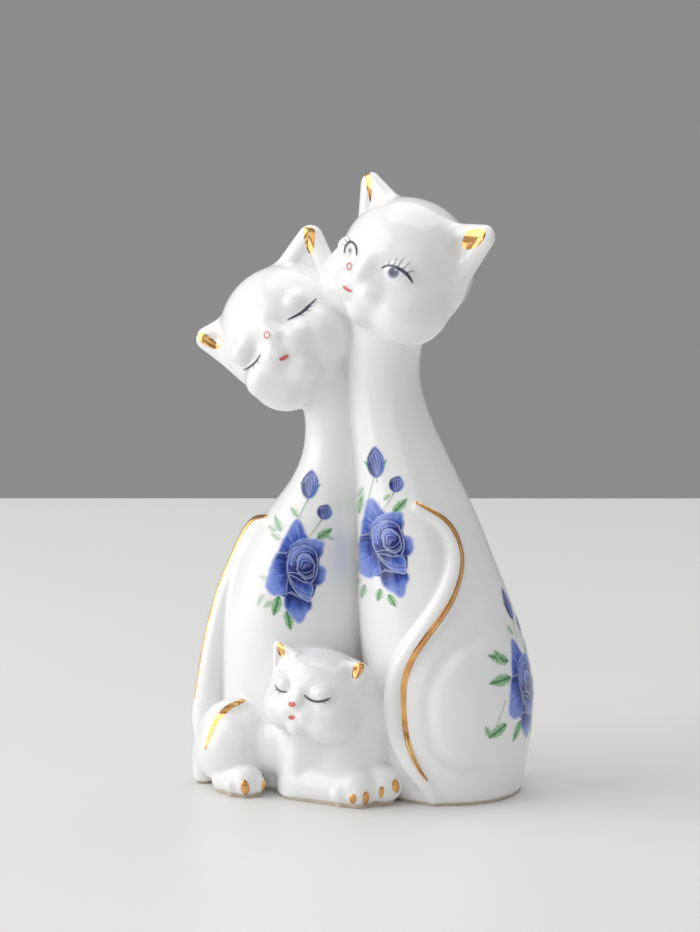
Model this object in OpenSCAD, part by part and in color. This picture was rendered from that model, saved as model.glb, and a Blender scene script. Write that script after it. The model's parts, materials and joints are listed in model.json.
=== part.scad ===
// Porcelain figurine of two seated cats leaning head to head with a kitten
// lying in front of them. Units are millimetres, +Z is up, -Y is the front,
// the origin is the centre of the footprint on the table.

/* [Overall] */
// overall scale of the whole figurine, 1 is 135 mm tall
figure_scale = 1; // [0.5:0.05:2]
// forward shift that centres the footprint on the origin
centre_shift = 0; // [-4:0.1:4]

/* [Shell] */
// wall thickness of the cast shell
wall = 3; // [2:0.25:4.5]
// thickness of the flat foot under the cats
base_t = 3; // [2:0.25:5]
// diameter of the vent hole under each parent cat
vent_d = 7; // [4:0.5:10]

/* [Tails] */
// radius of the raised tail of the right-hand parent
right_tail_r = 2.4; // [1.6:0.1:3.2]
// extra radius given to the thick tail of the left-hand parent
left_tail_extra = 0; // [-0.5:0.1:1]
// radius of the kitten's tail
kitten_tail_r = 2.3; // [1.6:0.1:3]

/* [Gilding and decals] */
// radius of the gold bead painted along the tails
gold_r = 0.7; // [0.4:0.05:1.2]
// thickness of the gold painted in the ears and on the claws
gold_t = 0.35; // [0.2:0.05:0.8]
// thickness of the printed flower transfers
decal_t = 0.3; // [0.2:0.05:0.8]
// thickness of the painted eyes, noses and mouths
enamel_t = 0.35; // [0.2:0.05:0.8]
// width of the painted eyelid strokes
stroke_w = 0.8; // [0.4:0.05:1.4]

/* [Hidden] */
rf = 30;   // facets round the bodies
hf = 26;   // facets round the skulls
sf = 16;   // facets round small balls

glaze = [0.95, 0.95, 0.94];
bisque = [0.80, 0.74, 0.66];
gold = [0.85, 0.62, 0.22];
rose_blue = [0.16, 0.24, 0.58];
leaf_green = [0.35, 0.62, 0.38];
ink = [0.12, 0.14, 0.18];
coral = [0.90, 0.42, 0.34];
iris_blue = [0.50, 0.56, 0.70];

// rows of a body: height, centre x, centre y, half width, half depth
right_rows = [
  [-2, 19, 5.5, 15.4, 15.4], [0, 19.1, 5.5, 15.9, 15.9], [5, 19.2, 5.5, 16.6, 16.7],
  [10, 19.3, 5.5, 17.4, 17.5], [15, 19.4, 5.5, 18.1, 18], [20, 19.4, 5.5, 18.5, 18.4],
  [25, 19.2, 5.4, 18.5, 18.4], [30, 18.4, 5.3, 18.3, 18.1], [35, 17.4, 5.2, 17.8, 17.5],
  [40, 16.4, 5, 17.1, 16.8], [50, 14.4, 4.6, 15.1, 15], [60, 12.3, 4.1, 13.2, 13.2],
  [70, 9.9, 3.6, 10.9, 11], [80, 7.1, 3, 9, 9.2], [90, 5.1, 2.5, 7.9, 8.1],
  [98, 5.3, 2.2, 8.2, 8.3], [106, 7, 2, 8.6, 8.6]];
left_rows = [
  [-2, -18.2, 5.5, 15.4, 15.4], [0, -17.8, 5.5, 15.9, 15.9], [5, -17.2, 5.5, 16.3, 16.4],
  [10, -16.6, 5.5, 16.7, 16.9], [20, -16.1, 5.5, 16.9, 17.4], [30, -15.9, 5.3, 16.7, 17.2],
  [40, -15.5, 5, 16.1, 16.2], [50, -14.7, 4.6, 14, 14.4], [55, -12.8, 4.3, 12.9, 13],
  [60, -10.8, 4.1, 11.5, 11.8], [65, -8.3, 3.8, 9.7, 10], [70, -6.5, 3.5, 8.3, 8.6],
  [75, -5.9, 3.2, 7.4, 7.7], [80, -6, 3, 6.9, 7.2], [86, -6.8, 2.6, 6.8, 7.1],
  [95, -10, 2, 7, 7.2]];

// tails as centre points with a radius
right_tail = [[20.5, -10.4, 3.4, 2.4], [16.8, -11.2, 8.9, 2.5], [13.4, -11, 15.2, 2.5],
  [12.4, -11.1, 21.8, 2.5], [13.5, -11.5, 28.6, 2.4], [16.7, -11.6, 34.4, 2.4],
  [20.2, -10.7, 39.9, 2.3], [22.9, -8.3, 45.7, 2.2], [24, -5.6, 51.8, 2.1],
  [22.8, -4.4, 57.4, 1.9], [20.4, -5, 61.3, 1.8], [16.1, -6.8, 64.2, 1.6]];
left_tail = [[-33, -5.5, 3.4, 3.1], [-34.4, -4, 8, 3.2], [-34.9, -3.2, 13.8, 3.2],
  [-34, -2.8, 20, 3.1], [-33, -2.3, 28.6, 2.8], [-31.7, -1.6, 36, 2.6],
  [-29.9, -0.8, 43, 2.4], [-27.8, 0, 49, 2.2], [-25.6, 0.6, 54.5, 2],
  [-23.2, 0.2, 57.6, 1.8], [-19.2, -3.7, 59.2, 1.5]];
kitten_tail_pts = [[-33.6, -8, 2.6, 1], [-33.2, -8.6, 8, 1], [-31.2, -9.8, 13.5, 1],
  [-28, -11, 17.2, 0.9], [-24.5, -11.4, 19.4, 0.8], [-21.5, -11.4, 19.8, 0.6]];
// gold beads, a little outside the shoulder of each tail
right_gold_pts = [[20.9, -12.4, 5.3], [18.9, -13.2, 9.1], [17.1, -13.6, 14.5],
  [16.2, -13.7, 20], [16.1, -13.8, 25.5], [17.3, -13.8, 30.4], [19.6, -13.2, 35.6],
  [22.7, -11.5, 40.9], [25.1, -8.9, 46.1], [26.3, -5.6, 51], [25.8, -4.2, 55.1],
  [24.3, -4, 58.7], [21.4, -5.8, 62.4], [16.4, -8.4, 65.6]];
left_gold_pts = [[-37, -4.8, 18], [-35.8, -3.8, 28.6], [-34.2, -2.9, 36],
  [-32.2, -1.9, 43], [-29.9, -1.1, 49], [-27.5, -0.5, 54.5], [-24.4, -1, 58.6],
  [-19.4, -5.2, 60.3]];
kitten_gold_pts = [[-34.9, -10, 6], [-34.2, -10.8, 10], [-32.2, -11.9, 14.6],
  [-29.4, -13, 17.8], [-25.8, -13.2, 20.4], [-22.6, -12.6, 21.4]];

// where each head sits and how it is turned
right_head_at = [10.1, 1.5, 114.8];
right_head_rot = [-7, 17, -23];
left_head_at = [-17.3, 1, 99];
left_head_rot = [-15, -43, 18];
kitten_head_at = [-3.9, -13, 23.5];
kitten_head_rot = [-8, 7, -13];

module fig() { scale(figure_scale) translate([0, centre_shift, 0]) children(); }

module ball(r, f = sf) { hull() sphere(r = r, $fn = f); }
module egg(s, f = hf) { hull() scale(s) sphere(r = 1, $fn = f); }

// one thin elliptical slice of a body, grown by g
module slice(r, g) {
  translate([r[1], r[2], r[0]]) scale([r[3] + g, r[4] + g, 1])
    cylinder(h = 0.02, r = 1, $fn = rf);
}
module loft(rows, g = 0, last = 99) {
  for (i = [0 : min(last, len(rows) - 1) - 1])
    hull() { slice(rows[i], g); slice(rows[i + 1], g); }
}

// chain of balls through points that carry their own radius
module chain(pts, k = 1, e = 0, f = 12) {
  for (i = [0 : len(pts) - 2]) hull() {
    translate([pts[i][0], pts[i][1], pts[i][2]]) sphere(r = pts[i][3] * k + e, $fn = f);
    translate([pts[i + 1][0], pts[i + 1][1], pts[i + 1][2]])
      sphere(r = pts[i + 1][3] * k + e, $fn = f);
  }
}
module bead(pts, r, f = 8) {
  for (i = [0 : len(pts) - 2]) hull() {
    translate(pts[i]) sphere(r = r, $fn = f);
    translate(pts[i + 1]) sphere(r = r, $fn = f);
  }
}

// skull, cheeks and muzzle of a parent, grown by g, facing -Y
module cat_skull(g = 0) {
  egg([15 + g, 14 + g, 14.4 + g]);
  hull() {
    for (s = [-1, 1]) translate([s * 6.4, -4.5, -5]) sphere(r = 8.7 + g, $fn = 22);
  }
  hull() {
    for (s = [-1, 1]) translate([s * 2.6, -10.6, -5]) sphere(r = 4.6 + g, $fn = 18);
    translate([0, -12, -2.2]) sphere(r = 3 + g, $fn = 18);
  }
}
// one ear: from the skull out to a rounded tip, hollowed towards the front
module ear(s, tip, k) {
  difference() {
    hull() {
      translate([s * tip[0] * 0.50, tip[1] + 1, tip[2] * 0.62]) scale([1.5, 1, 1])
        sphere(r = 3.8 * k, $fn = 18);
      translate([s * tip[0] * 0.62, tip[1] + 0.6, tip[2] * 0.36]) sphere(r = 3.6 * k, $fn = 18);
      translate([s * tip[0] * 0.94, tip[1], tip[2] * 0.93]) sphere(r = 1.5 * k, $fn = sf);
    }
    hull() {
      translate([s * tip[0] * 0.70, tip[1] - 4.4 * k, tip[2] * 0.66]) sphere(r = 2.6 * k, $fn = sf);
      translate([s * tip[0] * 0.90, tip[1] - 2.2 * k, tip[2] * 0.88]) sphere(r = 0.9 * k, $fn = sf);
    }
  }
}
module right_ears() { ear(-1, [18.6, 1.5, 15.2], 1); ear(1, [19, 1.5, 15.2], 1); }
module left_ears() { ear(-1, [15.6, 1, 14.4], 1); ear(1, [19.8, 1, 15], 1); }
module kitten_ears() { ear(-1, [11.6, -1, 9], 0.62); ear(1, [10.4, -1, 9.8], 0.62); }

module right_skull(g = 0) { translate(right_head_at) rotate(right_head_rot) cat_skull(g); }
module left_skull(g = 0) { translate(left_head_at) rotate(left_head_rot) cat_skull(g); }

module kitten_skull_local(g = 0) {
  egg([11.3 + g, 9.8 + g, 10.2 + g], 26);
  hull() {
    for (s = [-1, 1]) translate([s * 4.8, -3, -3.6]) sphere(r = 6.2 + g, $fn = 20);
  }
  hull() {
    for (s = [-1, 1]) translate([s * 1.8, -7.2, -3.8]) sphere(r = 3 + g, $fn = sf);
    translate([0, -8.3, -1.9]) sphere(r = 1.9 + g, $fn = sf);
  }
}
module kitten_skull(g = 0) { translate(kitten_head_at) rotate(kitten_head_rot) kitten_skull_local(g); }

module below_base() { translate([-60, -60, -20]) cube([120, 120, 20 + base_t]); }
module below_table() { translate([-60, -60, -20]) cube([120, 120, 20]); }
module parents() { loft(right_rows); loft(left_rows); }
module shells() { parents(); right_skull(); left_skull(); }

module kitten_trunk() {
  hull() { // rump and thigh
    translate([-26, -9, 8.2]) sphere(r = 8.2, $fn = 24);
    translate([-24.5, -11.5, 9.5]) sphere(r = 7.4, $fn = 24);
    translate([-25.5, -9.5, 4]) sphere(r = 7.4, $fn = 24);
  }
  hull() { // back along the parents
    translate([-24, -7, 9]) sphere(r = 8, $fn = 20);
    translate([-10, -6, 10]) sphere(r = 9, $fn = 20);
  }
  hull() { // chest up to the neck
    translate([-9, -9.5, 6]) sphere(r = 8, $fn = 20);
    translate([-5, -11, 14]) sphere(r = 6.5, $fn = 20);
    translate([-7.5, -11, 3.5]) sphere(r = 6.4, $fn = 20);
  }
  hull() { // shoulder on the right
    translate([-2, -9, 8]) sphere(r = 8, $fn = 20);
    translate([6, -7.5, 6]) sphere(r = 6.4, $fn = 20);
    translate([0, -10, 15]) sphere(r = 6, $fn = 20);
  }
}
module front_paws_solid() {
  hull() {
    translate([-6, -12.6, 4]) sphere(r = 4.6, $fn = 20);
    translate([5.6, -15.4, 3.9]) sphere(r = 4.4, $fn = 20);
  }
  hull() {
    translate([2, -9.5, 4.6]) sphere(r = 4.6, $fn = 20);
    translate([10, -12, 4.3]) sphere(r = 4.2, $fn = 20);
  }
  for (p = [[2.9, -17.9, 2.9], [6.2, -18.2, 2.9], [9.9, -14.6, 3.1], [12.2, -12.4, 3.3]])
    translate(p) ball(2);
}
module hind_paw_solid() {
  hull() {
    translate([-25, -13, 3.2]) sphere(r = 3.8, $fn = 20);
    translate([-20.4, -15.6, 3.2]) sphere(r = 3.7, $fn = 20);
  }
  for (p = [[-22.6, -17.6, 2.6], [-19.6, -17.9, 2.6], [-17.7, -16.4, 2.6]])
    translate(p) ball(1.9);
}

// lays a flat outline (x across, y up) on a surface in front of it
module project_front(depth = 60) { translate([0, 5, 0]) rotate([90, 0, 0]) linear_extrude(depth) children(); }
module project_side(s, depth = 40) {
  translate([s > 0 ? 20 : -20 - depth, 0, 0]) rotate([90, 0, 90]) linear_extrude(depth) children();
}
module stroke(pts, w) {
  for (i = [0 : len(pts) - 2]) hull() {
    translate(pts[i]) circle(d = w, $fn = 10);
    translate(pts[i + 1]) circle(d = w, $fn = 10);
  }
}

// outlines of the transfers
module rose(w, h) {
  scale([w / 20, h / 20]) polygon([[0, -10], [3.2, -8.4], [4.6, -6], [8.2, -6.2], [8.8, -2.6],
    [10, 0.4], [8.2, 3.2], [8.6, 6.6], [5, 7], [2.4, 8.4], [-1.6, 10], [-3.4, 7.4], [-7, 7.2],
    [-7.4, 3.6], [-10, 0.6], [-8.4, -2.6], [-8.6, -6], [-4.8, -6.2], [-2.8, -8.6]]);
}
module bud(w, h) {
  scale([w / 10, h / 10]) polygon([[0, -5], [2.8, -4], [4.8, -1], [4.4, 2], [2.2, 3.4], [0.4, 5],
    [-2.4, 3.6], [-4.6, 1.6], [-4.8, -1.4], [-2.8, -4.2]]);
}
module leaf(l, w) {
  polygon([[0, 0], [l * 0.25, w * 0.42], [l * 0.55, w * 0.5], [l * 0.82, w * 0.26], [l, 0],
    [l * 0.8, -w * 0.28], [l * 0.5, -w * 0.5], [l * 0.22, -w * 0.4]]);
}
module put(x, y, a = 0) { translate([x, y]) rotate(a) children(); }

module front_roses_right() {
  put(9.6, 55, -8) rose(11.5, 19);
  put(6.4, 73.4, 8) bud(4.4, 6.6);
  put(11.3, 68.6, -20) bud(3.6, 5);
}
module front_leaves_right() {
  put(3.6, 65.2, 20) leaf(4.5, 2.2);
  put(9, 64.8, -20) leaf(4.5, 2.6);
  put(7.6, 66, 80) leaf(4, 1.2);
  put(4, 46.6, -40) leaf(4.6, 2.8);
  put(9, 44.6, -70) leaf(4.4, 2.6);
}
module front_roses_left() {
  put(-10.9, 49.3, 6) rose(11.5, 20);
  put(-9.1, 67, -6) bud(4.2, 6.4);
  put(-6, 62.3, 20) bud(3.6, 4.2);
}
module front_leaves_left() {
  put(-10, 61.8, 130) leaf(4.4, 2.2);
  put(-8.4, 60.6, -30) leaf(4.4, 2.6);
  put(-14.6, 57.6, 150) leaf(4.2, 2.2);
  put(-14, 40, -110) leaf(4.6, 2.8);
  put(-17.4, 44.6, -160) leaf(4.4, 2.4);
}
module side_roses() {
  put(4.2, 26.6, 10) rose(11, 18);
  put(6, 42.4, 0) bud(4.4, 6.4);
}
module side_leaves() {
  put(-1.6, 36.6, 160) leaf(4.6, 2.8);
  put(-1.6, 32.2, 190) leaf(4, 2.4);
  put(-0.6, 17.4, 200) leaf(5, 3);
  put(4.4, 16.6, -60) leaf(4.6, 2.8);
  put(9.4, 35.6, 60) leaf(4.6, 2.6);
}
module decal_front(rows) {
  difference() {
    intersection() { loft(rows, decal_t); project_front() children(); }
    loft(rows);
  }
}
module decal_side(rows, s) {
  difference() {
    intersection() { loft(rows, decal_t, 10); project_side(s) children(); }
    loft(rows, 0, 10);
  }
}

module base_plate() color(bisque) fig() difference() {
  linear_extrude(base_t) polygon([[-33, -6], [-30, -12], [-24.4, -16.6], [-20, -17.6],
    [-15.6, -14.8], [-11, -14], [-6, -15.4], [1, -17.8], [6.2, -18], [9.6, -15], [13.6, -10.4],
    [20, -9.4], [25, -9.2], [29, -6.2], [32.2, -1], [33.8, 5.5], [32.6, 12], [29.2, 17.6],
    [24, 20.3], [19, 21], [11, 19.2], [5, 15], [0, 13], [-5, 15.4], [-11, 19.6], [-18, 21],
    [-24.6, 19.8], [-30, 15.8], [-32.6, 10.8], [-33.4, 5], [-33.4, 0]]);
  for (x = [-17, 18]) translate([x, 5.5, -1]) cylinder(h = base_t + 2, d = vent_d, $fn = 48);
}

module right_cat_body() color(glaze) fig() difference() {
  loft(right_rows);
  loft(right_rows, -wall);
  right_skull();
  below_base();
}
module left_cat_body() color(glaze) fig() difference() {
  loft(left_rows);
  loft(left_rows, -wall);
  loft(right_rows);
  left_skull();
  right_skull();
  below_base();
}
module right_cat_head() color(glaze) fig() difference() {
  union() {
    right_skull();
    translate(right_head_at) rotate(right_head_rot) right_ears();
  }
  translate(right_head_at) rotate(right_head_rot) egg([15 - wall, 14 - wall, 14.4 - wall]);
  loft(right_rows, -wall);
}
module left_cat_head() color(glaze) fig() difference() {
  union() {
    left_skull();
    translate(left_head_at) rotate(left_head_rot) left_ears();
  }
  translate(left_head_at) rotate(left_head_rot) egg([15 - wall, 14 - wall, 14.4 - wall]);
  loft(left_rows, -wall);
  right_skull();
  loft(right_rows);
}
module right_cat_tail() color(glaze) fig() difference() {
  chain(right_tail, right_tail_r / 2.4);
  loft(right_rows);
  below_base();
}
module left_cat_tail() color(glaze) fig() difference() {
  chain(left_tail, 1, left_tail_extra, 14);
  loft(left_rows);
  below_base();
}

module kitten_body() color(glaze) fig() difference() {
  kitten_trunk();
  parents();
  kitten_skull();
  front_paws_solid();
  hind_paw_solid();
  chain(left_tail, 1, left_tail_extra, 14);
  chain(right_tail, right_tail_r / 2.4);
  chain(kitten_tail_pts, kitten_tail_r);
  below_base();
}
module kitten_head() color(glaze) fig() difference() {
  union() {
    kitten_skull();
    translate(kitten_head_at) rotate(kitten_head_rot) kitten_ears();
  }
  parents();
}
module kitten_front_paws() color(glaze) fig() difference() {
  front_paws_solid();
  parents();
  chain(right_tail, right_tail_r / 2.4);
  below_base();
}
module kitten_hind_paw() color(glaze) fig() difference() {
  hind_paw_solid();
  parents();
  below_base();
}
module kitten_tail() color(glaze) fig() difference() {
  chain(kitten_tail_pts, kitten_tail_r);
  parents();
  chain(left_tail, 1, left_tail_extra, 14);
  hind_paw_solid();
  below_base();
}

// gold inside one ear
module ear_gold(s, tip, k) {
  hull() {
    translate([s * tip[0] * 0.68, tip[1] - 2.1 * k, tip[2] * 0.68]) sphere(r = 1.1 * k, $fn = 12);
    translate([s * tip[0] * 0.88, tip[1] - 1.1 * k, tip[2] * 0.88]) sphere(r = 0.8 * k, $fn = 12);
  }
  translate([s * tip[0] * 0.79, tip[1] - 1.8 * k, tip[2] * 0.79]) ball(1.5 * k, 12);
}
module right_cat_ear_gold() color(gold) fig() difference() {
  translate(right_head_at) rotate(right_head_rot) {
    ear_gold(-1, [18.6, 1.5, 15.2], 1);
    ear_gold(1, [19, 1.5, 15.2], 1);
  }
  right_skull();
  translate(right_head_at) rotate(right_head_rot) right_ears();
}
module left_cat_ear_gold() color(gold) fig() difference() {
  translate(left_head_at) rotate(left_head_rot) {
    ear_gold(-1, [15.6, 1, 14.4], 1);
    ear_gold(1, [19.8, 1, 15], 1);
  }
  left_skull();
  translate(left_head_at) rotate(left_head_rot) left_ears();
}
module kitten_ear_gold() color(gold) fig() difference() {
  translate(kitten_head_at) rotate(kitten_head_rot) {
    ear_gold(-1, [11.6, -1, 9], 0.62);
    ear_gold(1, [10.4, -1, 9.8], 0.62);
  }
  kitten_skull();
  translate(kitten_head_at) rotate(kitten_head_rot) kitten_ears();
}

module right_cat_tail_gold() color(gold) fig() difference() {
  bead(right_gold_pts, gold_r);
  loft(right_rows);
  chain(right_tail, right_tail_r / 2.4);
}
module left_cat_tail_gold() color(gold) fig() difference() {
  bead(left_gold_pts, gold_r);
  loft(left_rows);
  chain(left_tail, 1, left_tail_extra, 14);
}
module kitten_tail_gold() color(gold) fig() difference() {
  bead(kitten_gold_pts, gold_r);
  chain(kitten_tail_pts, kitten_tail_r);
  kitten_trunk();
  chain(left_tail, 1, left_tail_extra, 14);
}
module kitten_claw_gold() color(gold) fig() difference() {
  for (p = [[2.7, -19.6, 2.6], [6.6, -19.9, 2.6], [11.1, -16.1, 3], [13.9, -13.2, 3.3],
            [-22.6, -19.1, 2.6], [-19.2, -19.4, 2.6]])
    translate(p) hull() scale([0.8, 0.9, 1.3]) sphere(r = 1, $fn = 12);
  front_paws_solid();
  hind_paw_solid();
}

module right_cat_roses() color(rose_blue) fig() decal_front(right_rows) front_roses_right();
module right_cat_leaves() color(leaf_green) fig() decal_front(right_rows)
  difference() { front_leaves_right(); front_roses_right(); }
module left_cat_roses() color(rose_blue) fig() difference() {
  decal_front(left_rows) front_roses_left();
  loft(right_rows);
}
module left_cat_leaves() color(leaf_green) fig() difference() {
  decal_front(left_rows) difference() { front_leaves_left(); front_roses_left(); }
  loft(right_rows);
}
module right_side_roses() color(rose_blue) fig() decal_side(right_rows, 1) side_roses();
module right_side_leaves() color(leaf_green) fig() decal_side(right_rows, 1)
  difference() { side_leaves(); side_roses(); }
module left_side_roses() color(rose_blue) fig() decal_side(left_rows, -1)
  translate([3, 0]) side_roses();
module left_side_leaves() color(leaf_green) fig() decal_side(left_rows, -1)
  translate([3, 0]) difference() { side_leaves(); side_roses(); }

// paint on a parent's face, outline in the plane of the face
module face_paint(t = enamel_t) {
  difference() {
    intersection() {
      cat_skull(t);
      translate([0, -3, 0]) rotate([90, 0, 0]) linear_extrude(30) children();
    }
    cat_skull();
  }
}
module kitten_paint(t = enamel_t) {
  difference() {
    intersection() {
      kitten_skull_local(t);
      translate([0, -2, 0]) rotate([90, 0, 0]) linear_extrude(30) children();
    }
    kitten_skull_local();
  }
}
module right_cat_eye_lines() color(ink) fig() translate(right_head_at) rotate(right_head_rot)
  face_paint() for (s = [-1, 1]) {
    stroke([[s * 4.9, 1.4], [s * 6.6, 3], [s * 8.8, 2.6], [s * 10.6, 0.7]], stroke_w);
    stroke([[s * 7.1, 2.9], [s * 7.7, 4.7]], 0.6);
    stroke([[s * 8.7, 2.5], [s * 9.9, 4.1]], 0.6);
  }
module right_cat_irises() color(iris_blue) fig() translate(right_head_at) rotate(right_head_rot)
  face_paint() difference() {
    for (s = [-1, 1]) translate([s * 7.2, 1.6]) circle(d = 2.4, $fn = 20);
    for (s = [-1, 1]) stroke([[s * 4.9, 1.4], [s * 6.6, 3], [s * 8.8, 2.6], [s * 10.7, 0.6]], stroke_w + 0.04);
  }
module left_cat_eyelids() color(ink) fig() translate(left_head_at) rotate(left_head_rot)
  face_paint() {
    stroke([[4.5, -0.6], [7.6, -1.2], [11.4, -0.4]], stroke_w);
    stroke([[-4.6, -1.6], [-7.4, -2], [-10.2, -1]], stroke_w);
    for (s = [-1, 1]) stroke([[s * 9.4, -0.9], [s * 10.8, -2]], 0.5);
  }
module kitten_eyelids() color(ink) fig() translate(kitten_head_at) rotate(kitten_head_rot)
  kitten_paint() for (s = [-1, 1])
    stroke([[s * 2.2, 0.7], [s * 4.5, -0.4], [s * 7, 0.9]], stroke_w * 0.85);
module right_cat_nose_mouth() color(coral) fig() translate(right_head_at) rotate(right_head_rot)
  face_paint() {
    difference() { translate([0, -1.6]) scale([1, 1.2]) circle(d = 1.5, $fn = 16);
      translate([0, -1.6]) circle(d = 0.7, $fn = 10); }
    stroke([[-0.8, -6.2], [0.9, -6.9]], 0.8);
  }
module left_cat_nose_mouth() color(coral) fig() translate(left_head_at) rotate(left_head_rot)
  face_paint() {
    difference() { translate([0, -1]) scale([1, 1.2]) circle(d = 1.5, $fn = 16);
      translate([0, -1]) circle(d = 0.7, $fn = 10); }
    stroke([[-0.8, -6.2], [0.8, -6.2]], 0.9);
  }
module kitten_nose_mouth() color(coral) fig() translate(kitten_head_at) rotate(kitten_head_rot)
  kitten_paint() {
    stroke([[-0.5, -1.9], [0.5, -1.9]], 1.4);
    stroke([[-0.5, -4.8], [0.6, -4.8]], 1.1);
  }

base_plate();
left_cat_body();
left_cat_head();
left_cat_tail();
right_cat_body();
right_cat_head();
right_cat_tail();
kitten_body();
kitten_head();
kitten_front_paws();
kitten_hind_paw();
kitten_tail();
left_cat_ear_gold();
right_cat_ear_gold();
kitten_ear_gold();
left_cat_tail_gold();
right_cat_tail_gold();
kitten_tail_gold();
kitten_claw_gold();
left_cat_roses();
left_cat_leaves();
right_cat_roses();
right_cat_leaves();
right_side_roses();
right_side_leaves();
left_side_roses();
left_side_leaves();
left_cat_eyelids();
right_cat_eye_lines();
right_cat_irises();
kitten_eyelids();
left_cat_nose_mouth();
right_cat_nose_mouth();
kitten_nose_mouth();
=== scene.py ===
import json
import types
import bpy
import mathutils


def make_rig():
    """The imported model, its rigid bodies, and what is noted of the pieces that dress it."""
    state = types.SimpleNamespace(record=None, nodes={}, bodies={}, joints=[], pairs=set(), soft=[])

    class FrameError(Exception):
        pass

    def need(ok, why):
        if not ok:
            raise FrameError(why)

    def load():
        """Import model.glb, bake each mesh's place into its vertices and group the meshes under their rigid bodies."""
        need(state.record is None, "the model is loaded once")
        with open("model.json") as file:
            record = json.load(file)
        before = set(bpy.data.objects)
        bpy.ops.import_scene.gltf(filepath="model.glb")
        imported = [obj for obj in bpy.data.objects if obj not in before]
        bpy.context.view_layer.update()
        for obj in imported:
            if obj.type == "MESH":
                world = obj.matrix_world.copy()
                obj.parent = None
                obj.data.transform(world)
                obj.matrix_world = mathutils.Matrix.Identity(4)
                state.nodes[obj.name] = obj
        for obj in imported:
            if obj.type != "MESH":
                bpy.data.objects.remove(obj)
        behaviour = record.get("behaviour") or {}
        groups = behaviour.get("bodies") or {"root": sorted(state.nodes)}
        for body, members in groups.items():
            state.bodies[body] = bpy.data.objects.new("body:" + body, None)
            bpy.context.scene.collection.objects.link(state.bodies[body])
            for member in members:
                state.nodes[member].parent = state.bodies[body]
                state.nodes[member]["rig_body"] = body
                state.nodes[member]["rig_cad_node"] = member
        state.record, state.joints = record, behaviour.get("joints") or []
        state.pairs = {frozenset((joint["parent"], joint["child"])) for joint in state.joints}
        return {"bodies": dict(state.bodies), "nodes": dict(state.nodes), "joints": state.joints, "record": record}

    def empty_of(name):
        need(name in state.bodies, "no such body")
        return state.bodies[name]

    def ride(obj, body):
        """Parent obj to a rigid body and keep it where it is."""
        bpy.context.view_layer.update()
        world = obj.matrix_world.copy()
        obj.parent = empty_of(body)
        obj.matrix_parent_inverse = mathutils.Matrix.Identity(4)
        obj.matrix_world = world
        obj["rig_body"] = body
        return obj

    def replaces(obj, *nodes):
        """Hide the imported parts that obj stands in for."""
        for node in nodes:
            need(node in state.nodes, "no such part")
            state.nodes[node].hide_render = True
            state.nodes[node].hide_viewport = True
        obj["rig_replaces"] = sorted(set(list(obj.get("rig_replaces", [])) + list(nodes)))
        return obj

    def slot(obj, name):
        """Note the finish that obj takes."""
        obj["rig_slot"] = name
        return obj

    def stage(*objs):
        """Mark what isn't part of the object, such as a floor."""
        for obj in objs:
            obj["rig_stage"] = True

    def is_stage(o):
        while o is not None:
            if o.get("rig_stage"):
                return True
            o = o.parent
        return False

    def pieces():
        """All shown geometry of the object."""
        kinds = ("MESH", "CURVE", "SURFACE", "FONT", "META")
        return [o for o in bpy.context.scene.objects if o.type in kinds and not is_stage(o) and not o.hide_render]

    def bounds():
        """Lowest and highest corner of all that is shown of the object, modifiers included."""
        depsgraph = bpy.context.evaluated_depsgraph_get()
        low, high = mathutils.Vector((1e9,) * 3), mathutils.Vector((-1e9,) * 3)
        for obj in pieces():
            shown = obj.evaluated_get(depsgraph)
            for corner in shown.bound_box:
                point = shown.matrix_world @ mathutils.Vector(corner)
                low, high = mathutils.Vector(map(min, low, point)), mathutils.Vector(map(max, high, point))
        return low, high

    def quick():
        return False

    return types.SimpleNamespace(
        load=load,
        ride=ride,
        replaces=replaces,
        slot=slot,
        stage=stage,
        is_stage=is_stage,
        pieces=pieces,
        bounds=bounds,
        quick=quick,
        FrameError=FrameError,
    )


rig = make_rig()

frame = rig.load()
import bpy, math, json
import numpy as np
from mathutils import Matrix, Vector

cad_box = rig.bounds()
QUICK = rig.quick()

# ---------------------------------------------------------------- camera ----
# seen from 20 degrees to the right of the front and 9 degrees above level
TH, EL, DIST = math.radians(20.0), math.radians(9.0), 750.0
SU = 4.6                                   # sheet units per millimetre
FOC = SU * DIST
CX, CY = 350.0, 466.0
c_, s_ = math.cos(TH), math.sin(TH)
RIGHT = np.array([c_, s_, 0.0])
FLAT = np.array([-s_, c_, 0.0])
FWD = FLAT * math.cos(EL) + np.array([0, 0, -math.sin(EL)])
UP = FLAT * math.sin(EL) + np.array([0, 0, math.cos(EL)])
AIM = RIGHT * -1.74 + np.array([0, 0, 71.5])
EYE = AIM - FWD * DIST

cam_d = bpy.data.cameras.new("view_cam")
cam = bpy.data.objects.new("view_cam", cam_d)
bpy.context.scene.collection.objects.link(cam)
cam_d.sensor_width = 36.0
cam_d.sensor_fit = 'AUTO'
cam_d.lens = FOC * 36.0 / 932.0
cam_d.clip_start, cam_d.clip_end = 0.02, 20.0
rot = Matrix((tuple(RIGHT), tuple(UP), tuple(-FWD))).transposed().to_4x4()
cam.matrix_world = Matrix.Translation(Vector(EYE / 1000.0)) @ rot
bpy.context.scene.camera = cam


def sheet_ray(x, y):
    """rays through points of the design sheet (the front-right elevation)"""
    x, y = np.asarray(x, float), np.asarray(y, float)
    d = FWD + np.multiply.outer((x - CX) / FOC, RIGHT) - np.multiply.outer((y - CY) / FOC, UP)
    return d / np.linalg.norm(d, axis=-1, keepdims=True)


# --------------------------------------------------------- field toolbox ----
def smin(a, b, k):
    h = np.maximum(k - np.abs(a - b), 0.0) / k
    return np.minimum(a, b) - h * h * h * k / 6.0


def smax(a, b, k):
    return -smin(-a, -b, k)


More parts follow.
